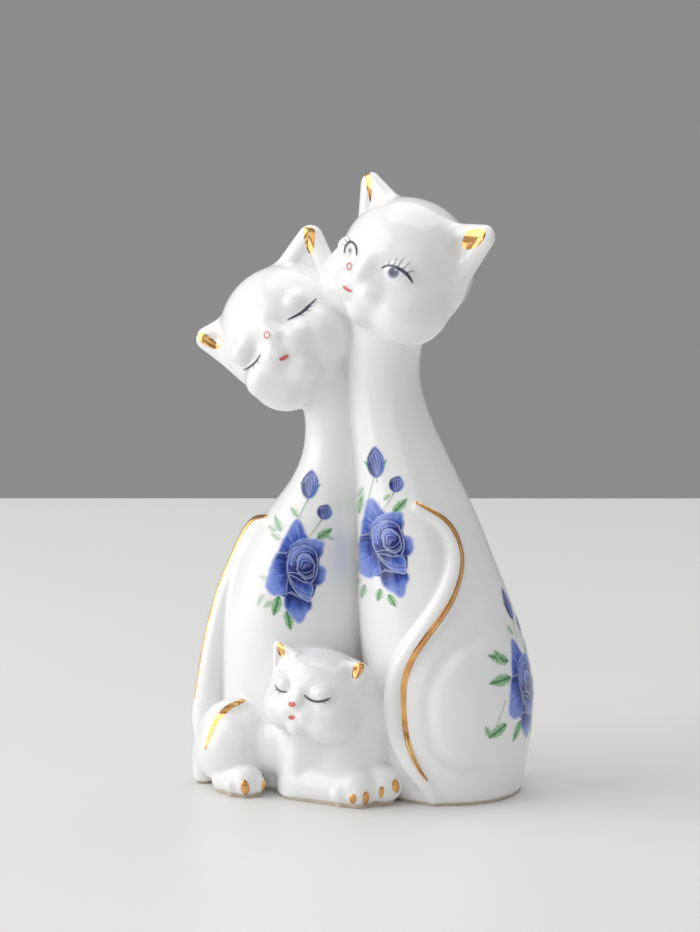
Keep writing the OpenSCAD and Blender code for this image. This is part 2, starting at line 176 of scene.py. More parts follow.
def ell(P, c, a):
    q = (P - np.asarray(c, P.dtype)) / np.asarray(a, P.dtype)
    k = np.sqrt((q * q).sum(1)) + 1e-9
    g = q / np.asarray(a, P.dtype)
    return k * (k - 1.0) / (np.sqrt((g * g).sum(1)) + 1e-9)


def ball(P, c, r):
    return np.sqrt(((P - np.asarray(c, P.dtype)) ** 2).sum(1)) - r


def capsule(P, a, b, r0, r1=None):
    r1 = r0 if r1 is None else r1
    a, b = np.asarray(a, P.dtype), np.asarray(b, P.dtype)
    d = b - a
    t = np.clip(((P - a) @ d) / (d @ d), 0, 1)
    return np.sqrt(((P - a - t[:, None] * d) ** 2).sum(1)) - (r0 + (r1 - r0) * t)


def rot_xyz(rx, ry, rz):
    a, b, c = np.radians([rx, ry, rz])
    Rx = np.array([[1, 0, 0], [0, math.cos(a), -math.sin(a)], [0, math.sin(a), math.cos(a)]])
    Ry = np.array([[math.cos(b), 0, math.sin(b)], [0, 1, 0], [-math.sin(b), 0, math.cos(b)]])
    Rz = np.array([[math.cos(c), -math.sin(c), 0], [math.sin(c), math.cos(c), 0], [0, 0, 1]])
    return Rz @ Ry @ Rx


def catmull(pts, n):
    p = np.asarray(pts, float)
    out = []
    m = len(p)
    for i in range(m - 1):
        p0 = p[i - 1] if i else 2 * p[0] - p[1]
        p3 = p[i + 2] if i + 2 < m else 2 * p[-1] - p[-2]
        p1, p2 = p[i], p[i + 1]
        t = (np.arange(n) / n)[:, None]
        out.append(0.5 * (2 * p1 + (p2 - p0) * t + (2 * p0 - 5 * p1 + 4 * p2 - p3) * t * t
                          + (3 * p1 - p0 - 3 * p2 + p3) * t ** 3))
    out.append(p[-1:])
    return np.concatenate(out)


def tube(P, pts):
    """distance to a chain of points that carry a radius"""
    best = np.full(len(P), 1e3, P.dtype)
    for i in range(len(pts) - 1):
        best = np.minimum(best, capsule(P, pts[i][:3], pts[i + 1][:3], pts[i][3], pts[i + 1][3]))
    return best


def line_dist(P, pts):
    best = np.full(len(P), 1e3, P.dtype)
    for i in range(len(pts) - 1):
        best = np.minimum(best, capsule(P, pts[i], pts[i + 1], 0.0))
    return best


class Loft:
    """smooth body of elliptical slices: rows of height, x, y, half width, half depth"""

    def __init__(self, rows, lo=-3.0, hi=108.0, dz=0.05):
        r = np.asarray(rows, float)
        x, y = r[:, 0], r[:, 1:]
        n = len(x)
        h = np.diff(x)
        A = np.eye(n)
        b = np.zeros((n, y.shape[1]))
        for i in range(1, n - 1):
            A[i, i - 1], A[i, i], A[i, i + 1] = h[i - 1], 2 * (h[i - 1] + h[i]), h[i]
            b[i] = 6 * ((y[i + 1] - y[i]) / h[i] - (y[i] - y[i - 1]) / h[i - 1])
        M = np.linalg.solve(A, b)
        z = np.arange(lo, hi, dz)
        zc = np.clip(z, x[0], x[-1])
        j = np.clip(np.searchsorted(x, zc, side='right') - 1, 0, n - 2)
        a_, b_ = (x[j + 1] - zc)[:, None], (zc - x[j])[:, None]
        hj = h[j][:, None]
        self.tab = (M[j] * a_ ** 3 + M[j + 1] * b_ ** 3) / (6 * hj) \
            + (y[j] / hj - M[j] * hj / 6) * a_ + (y[j + 1] / hj - M[j + 1] * hj / 6) * b_
        # a light smoothing takes out the last trace of the rows
        w = np.hanning(81); w /= w.sum()
        pad = np.pad(self.tab, ((40, 40), (0, 0)), mode='edge')
        self.tab = np.stack([np.convolve(pad[:, k], w, mode='valid') for k in range(4)], 1)
        self.lo, self.dz = lo, dz

    def rows_at(self, z):
        u = np.clip((z - self.lo) / self.dz, 0, len(self.tab) - 1.001)
        i = u.astype(np.int64)
        t = (u - i)[:, None]
        return (self.tab[i] * (1 - t) + self.tab[i + 1] * t).astype(z.dtype)

    def __call__(self, P):
        q = self.rows_at(P[:, 2])
        dx, dy = (P[:, 0] - q[:, 0]) / q[:, 2], (P[:, 1] - q[:, 1]) / q[:, 3]
        k = np.sqrt(dx * dx + dy * dy) + 1e-9
        g = np.sqrt((dx / q[:, 2]) ** 2 + (dy / q[:, 3]) ** 2) + 1e-9
        return k * (k - 1.0) / g


# ------------------------------------------------------------ the design ----
RIGHT_ROWS = [
    [-2, 19, 5.5, 15.2, 15.2], [0, 19.1, 5.5, 15.9, 15.9], [5, 19.2, 5.5, 16.9, 17],
    [10, 19.3, 5.5, 17.6, 17.7], [15, 19.4, 5.5, 18.2, 18.1], [20, 19.4, 5.5, 18.5, 18.4],
    [25, 19.1, 5.4, 18.6, 18.4], [30, 18.4, 5.3, 18.3, 18.1], [35, 17.4, 5.2, 17.8, 17.5],
    [40, 16.4, 5, 17.1, 16.8], [50, 14.4, 4.6, 15.1, 15], [60, 12.3, 4.1, 13.2, 13.2],
    [70, 9.9, 3.6, 10.9, 11], [80, 7.1, 3, 9, 9.2], [90, 5.1, 2.5, 7.9, 8.1],
    [98, 5.3, 2.2, 8.2, 8.3], [106, 7, 2, 8.6, 8.6]]
LEFT_ROWS = [
    [-2, -18.2, 5.5, 15.2, 15.2], [0, -17.8, 5.5, 15.9, 15.9], [5, -17.2, 5.5, 16.4, 16.6],
    [10, -16.7, 5.5, 16.7, 17], [20, -16.1, 5.5, 16.9, 17.4], [30, -15.9, 5.3, 16.7, 17.2],
    [40, -15.5, 5, 16.1, 16.2], [50, -14.4, 4.6, 14.2, 14.4], [55, -12.9, 4.3, 12.9, 13],
    [60, -10.8, 4.1, 11.5, 11.8], [65, -8.5, 3.8, 9.7, 10], [70, -6.7, 3.5, 8.3, 8.6],
    [75, -5.9, 3.2, 7.4, 7.7], [80, -6, 3, 6.9, 7.2], [86, -6.8, 2.6, 6.8, 7.1],
    [95, -10, 2, 7, 7.2]]
RIGHT_TAIL = [[22.0, -8.6, -1, 2.0], [20.4, -9.9, 3.4, 2.3], [16.8, -11.2, 8.9, 2.5], [13.4, -11, 15.2, 2.5],
    [12.4, -11.1, 21.8, 2.5], [13.5, -11.5, 28.6, 2.4], [16.7, -11.6, 34.4, 2.4],
    [20.2, -10.7, 39.9, 2.3], [22.9, -8.3, 45.7, 2.2], [24, -5.6, 51.8, 2.1],
    [22.8, -4.4, 57.4, 1.9], [20.4, -5, 61.3, 1.8], [16.1, -6.6, 64.2, 1.5]]
LEFT_TAIL = [[-30.6, -6.6, -1, 2.7], [-31.6, -5.4, 3.4, 3.0], [-33.4, -4, 8, 3.2], [-34.7, -3.2, 13.8, 3.2],
    [-34, -2.8, 20, 3.1], [-33, -2.3, 28.6, 2.8], [-31.7, -1.6, 36, 2.6],
    [-29.9, -0.8, 43, 2.4], [-27.8, 0, 49, 2.2], [-25.6, 0.6, 54.5, 2],
    [-23.2, 0.2, 57.6, 1.8], [-19.2, -3.7, 59.2, 1.4]]
KITTEN_TAIL = [[-33.4, -8, -1, 2.2], [-33.4, -8.4, 4, 2.3], [-32.9, -9, 9, 2.3], [-31, -10, 14, 2.2],
    [-28, -11.2, 17.2, 2.0], [-24.5, -11.4, 18.8, 1.7], [-21.5, -10.6, 18.6, 1.1]]
right_loft, left_loft = Loft(RIGHT_ROWS), Loft(LEFT_ROWS)
R_TAIL, L_TAIL, K_TAIL = (catmull(t, 5) for t in (RIGHT_TAIL, LEFT_TAIL, KITTEN_TAIL))

RH_AT, RH_ROT = np.array([10.1, 1.5, 114.8]), rot_xyz(-7, 17, -23)
LH_AT, LH_ROT = np.array([-17.3, 1.0, 99.0]), rot_xyz(-15, -43, 18)
KH_AT, KH_ROT = np.array([-3.9, -13.0, 23.5]), rot_xyz(-8, 7, -13)


def sd_tri(x, z, pts):
    """signed distance to a triangle in the x-z plane"""
    p = np.asarray(pts, x.dtype)
    if np.cross(p[1] - p[0], p[2] - p[0]) < 0:
        p = p[::-1]
    best = np.full(len(x), 1e6, x.dtype)
    inside = np.ones(len(x), bool)
    for i in range(3):
        a, e = p[i], p[(i + 1) % 3] - p[i]
        wx, wz = x - a[0], z - a[1]
        t = np.clip((wx * e[0] + wz * e[1]) / (e @ e), 0, 1)
        best = np.minimum(best, (wx - t * e[0]) ** 2 + (wz - t * e[1]) ** 2)
        inside &= (e[0] * wz - e[1] * wx) >= 0
    return np.sqrt(best) * np.where(inside, -1, 1)


def ear(Q, tri, rnd, y0, th, hollow, lean=0.0):
    """a rounded leaf of clay standing up from the head; its hollow faces
    forward. tri: two feet and the tip between them, in x and z"""
    tip = np.asarray(tri[1], float)
    mid = (np.asarray(tri[0], float) + np.asarray(tri[2], float)) / 2
    ax = (tip - mid) / np.linalg.norm(tip - mid)
    L = np.linalg.norm(tip - mid)
    x, y, z = Q[:, 0], Q[:, 1], Q[:, 2]
    t = np.clip(((x - mid[0]) * ax[0] + (z - mid[1]) * ax[1]) / L, 0, 1)
    yy = y - (y0 + lean * t)
    h = th * (1.35 - 0.6 * t)
    d2 = sd_tri(x, z, tri)
    e = np.sqrt(np.maximum(d2, 0) ** 2 + (yy * rnd / h) ** 2) - rnd
    d = np.where(d2 > 0, e, np.maximum(np.abs(yy) * rnd / h - rnd, -rnd)) * np.minimum(1, h / rnd)
    front = yy + h - hollow * np.clip(0.55 + 0.45 * np.sin(np.pi * np.clip(t * 0.9 + 0.1, 0, 1)), 0, 1)
    cut = smax(d2 + 0.2 * rnd, front, 1.8)
    return smax(d, -cut, 1.6)


def head_right(P):
    Q = (P - RH_AT) @ RH_ROT
    f = ell(Q, (0, 0.4, 1.1), (15.0, 13.7, 14.2))
    for s in (-1, 1):
        f = smin(f, ell(Q, (s * 7.1, -3.9, -6.0), (8.9, 8.7, 8.5)), 4.0)
    for s in (-1, 1):   # puffs beside the nose
        f = smin(f, ell(Q, (s * 2.9, -11.3, -5.0), (3.9, 3.8, 3.9)), 2.8)
    f = smin(f, capsule(Q, (0, -11.6, 1.0), (0, -13.2, -2.4), 2.3, 2.2), 2.6)
    f = smin(f, ball(Q, (0, -9.4, -9.2), 3.7), 3.0)
    for s in (-1, 1):   # sockets, then the lids inside them
        f = smax(f, -ell(Q, (s * 7.0, -16.2, 0.9), (4.4, 4.1, 3.0)), 3.0)
        f = smin(f, ell(Q, (s * 7.2, -9.7, 1.3), (3.8, 3.0, 2.7)), 1.2)
        f = smin(f, ell(Q, (s * 8.0, -8.2, -6.6), (5.2, 4.2, 4.2)), 2.6)
    f = smin(f, ear(Q, ((-6.3, 9.8), (-16.5, 13.2), (-11.6, -2.4)), 2.7, 1.4, 2.1, 0.85, -0.6), 2.6)
    f = smin(f, ear(Q, ((6.3, 10.0), (17.2, 13.6), (11.3, -2.6)), 2.7, 1.4, 2.1, 0.85, -0.6), 3.0)
    return f


def head_left(P):
    Q = (P - LH_AT) @ LH_ROT
    f = ell(Q, (0.9, 0.4, 1.25), (14.4, 13.5, 14.0))
    for s in (-1, 1):
        f = smin(f, ell(Q, (s * 5.6 + 0.7, -3.9, -6.2 + s * 0.7), (8.0, 8.5, 8.2)), 4.0)
    for s in (-1, 1):
        f = smin(f, ell(Q, (s * 3.0, -11.2, -4.4), (3.9, 3.7, 3.6)), 2.4)
    f = smin(f, capsule(Q, (0, -11.8, 2.0), (0, -13.0, -1.2), 2.2, 2.1), 2.6)
    f = smin(f, ball(Q, (-0.2, -9.4, -9.2), 3.9), 2.8)
    for s in (-1, 1):
        f = smax(f, -ell(Q, (s * 7.2, -16.1, 1.0), (4.6, 4.0, 3.6)), 2.8)
        f = smin(f, ell(Q, (s * 7.2, -9.4, 1.7), (3.7, 3.1, 2.9)), 1.3)
        f = smin(f, ell(Q, (s * 7.6, -8.4, -5.6), (5.0, 4.2, 4.0)), 2.4)
    f = smin(f, ear(Q, ((-4.8, 9.6), (-13.2, 11.6), (-10.8, -0.6)), 2.6, 1.2, 2.1, 0.85, -0.6), 2.6)
    f = smin(f, ear(Q, ((7.6, 10.2), (18.4, 12.4), (14.2, -1.2)), 2.9, 1.2, 2.1, 0.85, -0.6), 2.6)
    return f


def head_kitten(P):
    Q = (P - KH_AT) @ KH_ROT
    f = ell(Q, (-0.4, 0.6, 0.2), (11.0, 9.4, 9.5))
    for s in (-1, 1):
        f = smin(f, ell(Q, (s * 4.9, -3.0, -3.9), (6.2, 6.0, 5.6)), 2.6)
    for s in (-1, 1):
        f = smin(f, ell(Q, (s * 2.0, -7.2, -3.9), (2.8, 2.7, 2.6)), 2.0)
    f = smin(f, capsule(Q, (0, -8.2, 0.2), (0, -9.2, -1.9), 1.5, 1.5), 1.6)
    f = smin(f, ball(Q, (0, -6.6, -6.8), 2.6), 1.8)
    for s in (-1, 1):
        f = smax(f, -ell(Q, (s * 4.7, -11.6, 0.3), (3.4, 2.8, 2.4)), 1.8)
        f = smin(f, ell(Q, (s * 4.7, -6.9, 1.2), (2.6, 2.3, 2.0)), 0.8)
        f = smin(f, ell(Q, (s * 5.2, -5.4, -4.0), (3.2, 2.9, 2.8)), 2.0)
    f = smin(f, ear(Q, ((-5.2, 7.2), (-10.0, 8.2), (-8.6, 1.8)), 1.25, -3.8, 1.3, 0.5, -0.5), 1.8)
    f = smin(f, ear(Q, ((3.8, 7.0), (9.2, 7.9), (8.6, 1.8)), 1.3, -0.4, 1.3, 0.5, -0.6), 1.8)
    return f


THIGH = catmull([[30, -7.5, 37], [24.5, -11, 33], [21.2, -12.7, 26], [20.6, -12.8, 19], [22.5, -12, 12.5],
                 [27, -9.8, 9.2], [32, -5.6, 8.8]], 4)


def body_right(P):
    f = right_loft(P)
    f = smax(f, P[:, 2] - 105.0, 1.0)
    m = (P[:, 1] < 0) & (P[:, 2] < 60) & (np.abs(f) < 6)
    if m.any():
        d = line_dist(P[m], THIGH)
        f[m] += 0.72 * np.exp(-(d / 1.6) ** 2)
    return f


def body_left(P):
    return smax(left_loft(P), P[:, 2] - 94.0, 1.0)


def tail_right(P):
    return tube(P, R_TAIL)


def tail_left(P):
    return tube(P, L_TAIL)


def tail_kitten(P):
    return tube(P, K_TAIL)


def body_kitten(P):
    f = ell(P, (-26.2, -9.0, 8.8), (8.4, 8.0, 8.8))                   # rump
    f = smin(f, ell(P, (-24.6, -11.4, 9.0), (6.6, 5.6, 8.2)), 2.0)    # thigh
    f = smin(f, capsule(P, (-27.5, -9.8, 13.6), (-21.6, -10.0, 15.2), 4.2, 3.4), 2.4)  # hump under the tail's end
    f = smin(f, capsule(P, (-24, -6, 8.5), (-8, -5, 11), 7.6, 9.0), 2.5)
    f = smin(f, capsule(P, (-8.6, -10.2, 2.0), (-6.0, -9.8, 14.5), 6.2, 6.4), 2.5)
    f = smin(f, capsule(P, (-9.6, -13.4, 1.0), (-8.0, -13.2, 13.0), 3.2, 3.4), 1.6)   # chest ridge
    f = smin(f, ell(P, (0.5, -7.5, 8.0), (10.5, 8.2, 9.6)), 3.0)      # shoulders
    f = smin(f, ell(P, (2.6, -9.2, 18.0), (8.4, 5.6, 11.6)), 3.0)     # nape, against the big cats
    return f


def front_paws(P):
    f = capsule(P, (-7, -12.9, 3.2), (5.4, -15.2, 3.6), 4.7, 4.5)
    f = smin(f, capsule(P, (1.0, -10.0, 4.2), (10.0, -12.0, 4.2), 4.8, 4.3), 1.4)
    for p, r in (((2.4, -17.6, 2.8), 2.2), ((6.3, -17.6, 3.0), 2.2), ((9.4, -14.6, 3.2), 2.1), ((12.0, -12.2, 3.4), 2.1)):
        f = smin(f, ball(P, p, r), 0.9)
    return f


def hind_paw(P):
    f = capsule(P, (-25.4, -13.4, 2.6), (-20.4, -15.4, 3.0), 3.6, 3.8)
    for p, r in (((-22.8, -17.2, 2.5), 2.0), ((-19.8, -17.4, 2.7), 2.0), ((-17.6, -15.8, 2.7), 1.9)):
        f = smin(f, ball(P, p, r), 0.9)
    return f


# name, field, low corner, high corner (with room for the blends)
GROUPS = [
    ("right_body", body_right, (-4, -18, -3), (43, 29, 112)),
    ("right_head", head_right, (-12, -22, 92), (36, 24, 142)),
    ("right_tail", tail_right, (6, -17, -4), (31, 1, 70)),
    ("left_body", body_left, (-38, -17, -3), (6, 28, 100)),
    ("left_head", head_left, (-43, -22, 76), (8, 24, 130)),
    ("left_tail", tail_left, (-42, -14, -4), (-14, 7, 65)),
    ("kitten_body", body_kitten, (-38, -23, -3), (15, 6, 34)),
    ("kitten_head", head_kitten, (-21, -29, 8), (14, 2, 40)),
    ("front_paws", front_paws, (-16, -24, -3), (19, -2, 13)),
    ("hind_paw", hind_paw, (-34, -24, -3), (-11, -6, 12)),
    ("kitten_tail", tail_kitten, (-40, -18, -4), (-15, -2, 26)),
]
NAMES = [g[0] for g in GROUPS]
BIG = 50.0


def parts(P):
    out = []
    for name, fn, lo, hi in GROUPS:
        m = np.all((P > np.asarray(lo, P.dtype)) & (P < np.asarray(hi, P.dtype)), axis=1)
        v = np.full(len(P), BIG, P.dtype)
        if m.any():
            v[m] = fn(P[m])
        out.append(v)
    return out


def field(P, want_label=False):
    rb, rh, rt, lb, lh, lt, kb, kh, kf, kp, kt = v = parts(P)
    R = smin(rb, rh, 4.0)
    R = smin(R, rt, 1.3)
    L = smin(lb, lh, 3.4)
    L = smin(L, lt, 1.5)
    K = smin(kb, kh, 4.8)
    K = smin(K, kf, 1.4)
    K = smin(K, kp, 1.2)
    K = smin(K, kt, 1.8)
    f = smin(R, L, 1.2)
    f = smin(f, K, 1.4)
    f = smax(f, 0.0 - P[:, 2], 1.6)
    if want_label:
        return f, np.argmin(np.stack(v), axis=0)
    return f


def gradient(P, e=0.04):
    k = np.array([[1, -1, -1], [-1, -1, 1], [-1, 1, -1], [1, 1, 1]], float)
    g = np.zeros_like(P)
    for kk in k:
        g += kk * field(P + e * kk)[:, None]
    return g / (4 * e)


def chunked(fn, P, n=400000, **kw):
    if len(P) <= n:
        return fn(P, **kw)
    outs = [fn(P[i:i + n], **kw) for i in range(0, len(P), n)]
    if isinstance(outs[0], tuple):
        return tuple(np.concatenate([o[j] for o in outs]) for j in range(len(outs[0])))
    return np.concatenate(outs)


# ------------------------------------------------------- mesh from field ----
def nets(fn, lo, hi, H, sparse=True):
    """closed quad meshes, one per label, from a signed field; returns
    vertices, a flag for those on the outer surface, and faces by label"""
    lo, hi = np.asarray(lo, float), np.asarray(hi, float)
    nb = np.ceil((hi - lo) / H / 8).astype(int)
    dims = nb * 8
    F = np.full(dims, BIG, np.float32)
    L = np.zeros(dims, np.int8)
    lo32 = lo.astype(np.float32)

    def at(idx, step):
        P = (lo + (idx * step + (step - 1) / 2) * H).astype(np.float32)
        return chunked(fn, P, want_label=True)

    def fill(idx, step, f, lab):
        o = np.stack(np.meshgrid(*[np.arange(step)] * 3, indexing='ij'), -1).reshape(-1, 3)
        for a in range(0, len(idx), 20000):
            full = (idx[a:a + 20000, None, :] * step + o[None]).reshape(-1, 3)
            ii = tuple(full.T)
            F[ii] = np.repeat(np.where(f[a:a + 20000] > 0, BIG, -BIG), step ** 3)
            L[ii] = np.repeat(np.where(f[a:a + 20000] > 0, 0, lab[a:a + 20000] + 1), step ** 3)

    if sparse:
        idx = np.stack(np.meshgrid(*[np.arange(n) for n in nb], indexing='ij'), -1).reshape(-1, 3)
        f, lab = at(idx, 8)
        fill(idx, 8, f, lab)
        act = idx[np.abs(f) < 0.87 * 8 * H * 1.3 + 0.8]
        o = np.stack(np.meshgrid(*[np.arange(2)] * 3, indexing='ij'), -1).reshape(-1, 3)
        idx = (act[:, None, :] * 2 + o[None]).reshape(-1, 3)
        f, lab = at(idx, 4)
        fill(idx, 4, f, lab)
        act = idx[np.abs(f) < 0.87 * 4 * H * 1.3 + 0.6]
        o = np.stack(np.meshgrid(*[np.arange(4)] * 3, indexing='ij'), -1).reshape(-1, 3)
        idx = (act[:, None, :] * 4 + o[None]).reshape(-1, 3)
    else:
        idx = np.stack(np.meshgrid(*[np.arange(n) for n in dims], indexing='ij'), -1).reshape(-1, 3)
    f, lab = at(idx, 1)
    ii = tuple(idx.T)
    F[ii] = f
    L[ii] = np.where(f > 0, 0, lab + 1)
    del f, lab, idx, ii

    n = np.array(dims)
    corner = [(i, j, k) for i in (0, 1) for j in (0, 1) for k in (0, 1)]

    def sub(A, o):
        return A[o[0]:n[0] - 1 + o[0], o[1]:n[1] - 1 + o[1], o[2]:n[2] - 1 + o[2]]
    base = sub(L, (0, 0, 0))
    mixed = np.zeros(tuple(n - 1), bool)
    for o in corner[1:]:
        mixed |= sub(L, o) != base
    cell = np.argwhere(mixed)
    vid = np.full(tuple(n - 1), -1, np.int32)
    vid[mixed] = np.arange(len(cell))
    cf = np.stack([F[tuple((cell + o).T)] for o in corner], 1)
    cl = np.stack([L[tuple((cell + o).T)] for o in corner], 1)
    pos = np.zeros((len(cell), 3)); cnt = np.zeros(len(cell))
    inn = np.zeros((len(cell), 3)); icnt = np.zeros(len(cell))
    for a in range(8):
        for b in range(a + 1, 8):
            oa, ob = np.array(corner[a]), np.array(corner[b])
            if np.abs(oa - ob).sum() != 1:
                continue
            diff = cl[:, a] != cl[:, b]
            outer = diff & ((cl[:, a] == 0) | (cl[:, b] == 0))
            t = cf[:, a] / (cf[:, a] - cf[:, b] + 1e-12)
            t = np.clip(np.where(outer, t, 0.5), 0.02, 0.98)
            p = oa + t[:, None] * (ob - oa)
            pos[outer] += p[outer]; cnt[outer] += 1
            w = diff & ~outer
            inn[w] += p[w]; icnt[w] += 1
    on = cnt > 0
    pos[on] /= cnt[on][:, None]
    pos[~on] = inn[~on] / icnt[~on][:, None]
    V = lo + (cell + pos) * H
    faces = {}
    for ax in range(3):
        u, v = [(1, 2), (2, 0), (0, 1)][ax]
        e = np.zeros(3, int); e[ax] = 1
        A = L[1:-1, 1:-1, 1:-1]
        B = L[1 + e[0]:n[0] - 1 + e[0], 1 + e[1]:n[1] - 1 + e[1], 1 + e[2]:n[2] - 1 + e[2]]
        p = np.argwhere(A != B) + 1
        if not len(p):
            continue
        la, lb = L[tuple(p.T)], L[tuple((p + e).T)]
        q = []
        for du, dv in ((-1, -1), (0, -1), (0, 0), (-1, 0)):
            o = np.zeros(3, int); o[u] = du; o[v] = dv
            q.append(vid[tuple((p + o).T)])
        q = np.stack(q, 1)
        for lab in np.unique(np.concatenate([la, lb])):
            if lab == 0:
                continue
            f = faces.setdefault(int(lab), ([], []))
            for own, other, qq in ((la, lb, q), (lb, la, q[:, ::-1])):
                m = own == lab
                f[0].append(qq[m & (other == 0)])
                f[1].append(qq[m & (other > 0)])
    return V, on, {k: (np.concatenate(v[0]), np.concatenate(v[1])) for k, v in faces.items()}


def tuck(V, N, on, faces):
    """joint faces that reach the surface are folded inwards, edges and all, so
    that none of them shows; returns vertices, normals, quads and triangles"""
    n0 = np.int64(len(V))

    def keys(q):
        e = np.stack([q, np.roll(q, -1, 1)], -1).astype(np.int64)
        return np.minimum(e[..., 0], e[..., 1]) * n0 + np.maximum(e[..., 0], e[..., 1])
    skin = np.unique(np.concatenate([keys(f[0]).ravel() for f in faces.values() if len(f[0])]))
    picks = {lab: (on[f[1]].sum(1) >= 2) if len(f[1]) else np.zeros(0, bool) for lab, f in faces.items()}
    all_k = np.concatenate([keys(f[1][picks[lab]]).ravel() for lab, f in faces.items() if len(f[1])])
    all_k = np.unique(all_k)
    a, b = all_k // n0, all_k % n0
    split = all_k[on[a] & on[b] & ~np.isin(all_k, skin)]
    a, b = split // n0, split % n0
    nn = N[a] + N[b]
    nn /= np.linalg.norm(nn, axis=1, keepdims=True) + 1e-9
    vs, ns_ = [V, (V[a] + V[b]) / 2 - 0.16 * nn], [N, -nn]
    base = len(V) + len(split)
    out = {}
    for lab, (sk, jt) in faces.items():
        m = picks[lab]
        if not len(jt) or not m.any():
            out[lab] = (np.concatenate([sk, jt]), np.zeros((0, 3), int))
            continue
        q = jt[m]
        o = on[q][..., None]
        nn = (N[q] * o).sum(1)
        nn /= np.linalg.norm(nn, axis=1, keepdims=True) + 1e-9
        vs.append(V[q].mean(1) - 0.08 * on[q].sum(1)[:, None] * nn)
        ns_.append(-nn)
        c = base + np.arange(len(q))
        base += len(q)
        k = keys(q)
        pos = np.searchsorted(split, k) if len(split) else np.zeros(k.shape, int)
        pos = np.minimum(pos, max(len(split) - 1, 0))
        sp = (split[pos] == k) if len(split) else np.zeros(k.shape, bool)
        mid = len(V) + pos
        tris = []
        for i in range(4):
            u, v, w, z = q[:, i], q[:, (i + 1) % 4], sp[:, i], mid[:, i]
            tris.append(np.stack([u, v, c], 1)[~w])
            tris.append(np.stack([u, z, c], 1)[w])
            tris.append(np.stack([z, v, c], 1)[w])
        out[lab] = (np.concatenate([sk, jt[~m]]), np.concatenate(tris))
    return np.concatenate(vs), np.concatenate(ns_), out


def settle(V, on, fld, H, rounds=3):
    P = V[on].copy()
    for r in range(rounds):
        f = chunked(fld, P)
        g = chunked(lambda Q: grad_of(fld, Q), P)
        step = -f[:, None] * g / ((g * g).sum(1)[:, None] + 1e-6)
        m = np.linalg.norm(step, axis=1, keepdims=True)
        step *= np.minimum(1.0, 0.6 * H / (m + 1e-9))
        P += step
    V[on] = P
    # inner joint faces stay well under the surface
    I = V[~on].copy()
    for r in range(2):
        f = chunked(fld, I)
        m = f > -0.35
        if m.any():
            gi = grad_of(fld, I[m])
            I[m] -= np.clip((f[m] + 0.35), 0, H)[:, None] * gi / (np.linalg.norm(gi, axis=1, keepdims=True) + 1e-6)
    V[~on] = I
    g = chunked(lambda Q: grad_of(fld, Q), P)
    N = np.zeros_like(V)
    N[on] = g / (np.linalg.norm(g, axis=1, keepdims=True) + 1e-12)
    return V, N


def grad_of(fld, P, e=0.04):
    g = np.zeros_like(P)
    for kk in np.array([[1, -1, -1], [-1, -1, 1], [-1, 1, -1], [1, 1, 1]], float):
        g += kk * fld(P + e * kk)[:, None]
    return g / (4 * e)


def add_mesh(name, V, faces, N=None, mat=None, colors=None):
    """a mesh object in metres from millimetre arrays"""
    groups = [np.asarray(f, np.int64) for f in (faces if isinstance(faces, tuple) else (faces,))]
    groups = [f for f in groups if len(f)]
    flat = np.concatenate([f.ravel() for f in groups])
    used, inv = np.unique(flat, return_inverse=True)
    sizes = np.concatenate([np.full(len(f), f.shape[1]) for f in groups])
    starts = np.concatenate([[0], np.cumsum(sizes)[:-1]])
    me = bpy.data.meshes.new(name)
    me.vertices.add(len(used))
    me.vertices.foreach_set("co", (V[used] / 1000.0).astype(np.float32).ravel())
    me.loops.add(len(flat))
    me.loops.foreach_set("vertex_index", inv.astype(np.int32).ravel())
    me.polygons.add(len(sizes))
    me.polygons.foreach_set("loop_start", starts.astype(np.int32))
    me.update(calc_edges=True)
    me.validate()
    me.polygons.foreach_set("use_smooth", np.ones(len(me.polygons), bool))
    if N is not None and len(me.vertices) == len(used):
        me.normals_split_custom_set_from_vertices(N[used].astype(float).tolist())
    if colors is not None:
        at = me.color_attributes.new("paint", 'FLOAT_COLOR', 'POINT')
        c = np.ones((len(used), 4), np.float32)
        c[:, :colors.shape[1]] = colors[used]
        at.data.foreach_set("color", c.ravel())
    ob = bpy.data.objects.new(name, me)
    bpy.context.scene.collection.objects.link(ob)
    if mat is not None:
        me.materials.append(mat)
    return ob


def keep(ob, slot, *nodes):
    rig.ride(ob, "root")
    if nodes:
        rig.replaces(ob, *nodes)
    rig.slot(ob, slot)
    return ob


# -------------------------------------------------------------- materials ---
def new_mat(name):
    m = bpy.data.materials.new(name)
    m.use_nodes = True
    nt = m.node_tree
    return m, nt, nt.nodes["Principled BSDF"]


def node(nt, kind, **kw):
    n = nt.nodes.new(kind)
    for k, v in kw.items():
        if k in n.inputs:
            n.inputs[k].default_value = v
        else:
            setattr(n, k, v)
    return n


def noise(nt, scale, detail=3.0, rough=0.5):
    tc = node(nt, "ShaderNodeTexCoord")
    nz = node(nt, "ShaderNodeTexNoise")
    nz.inputs["Scale"].default_value = scale
    nz.inputs["Detail"].default_value = detail
    nz.inputs["Roughness"].default_value = rough
    nt.links.new(tc.outputs["Object"], nz.inputs["Vector"])
    return nz


def ramp(nt, src, stops):
    r = node(nt, "ShaderNodeValToRGB")
    el = r.color_ramp.elements
    el[0].position, el[0].color = stops[0][0], (*stops[0][1], 1)
    el[1].position, el[1].color = stops[-1][0], (*stops[-1][1], 1)
    for p, col in stops[1:-1]:
        e = el.new(p); e.color = (*col, 1)
    nt.links.new(src, r.inputs["Fac"])
    return r


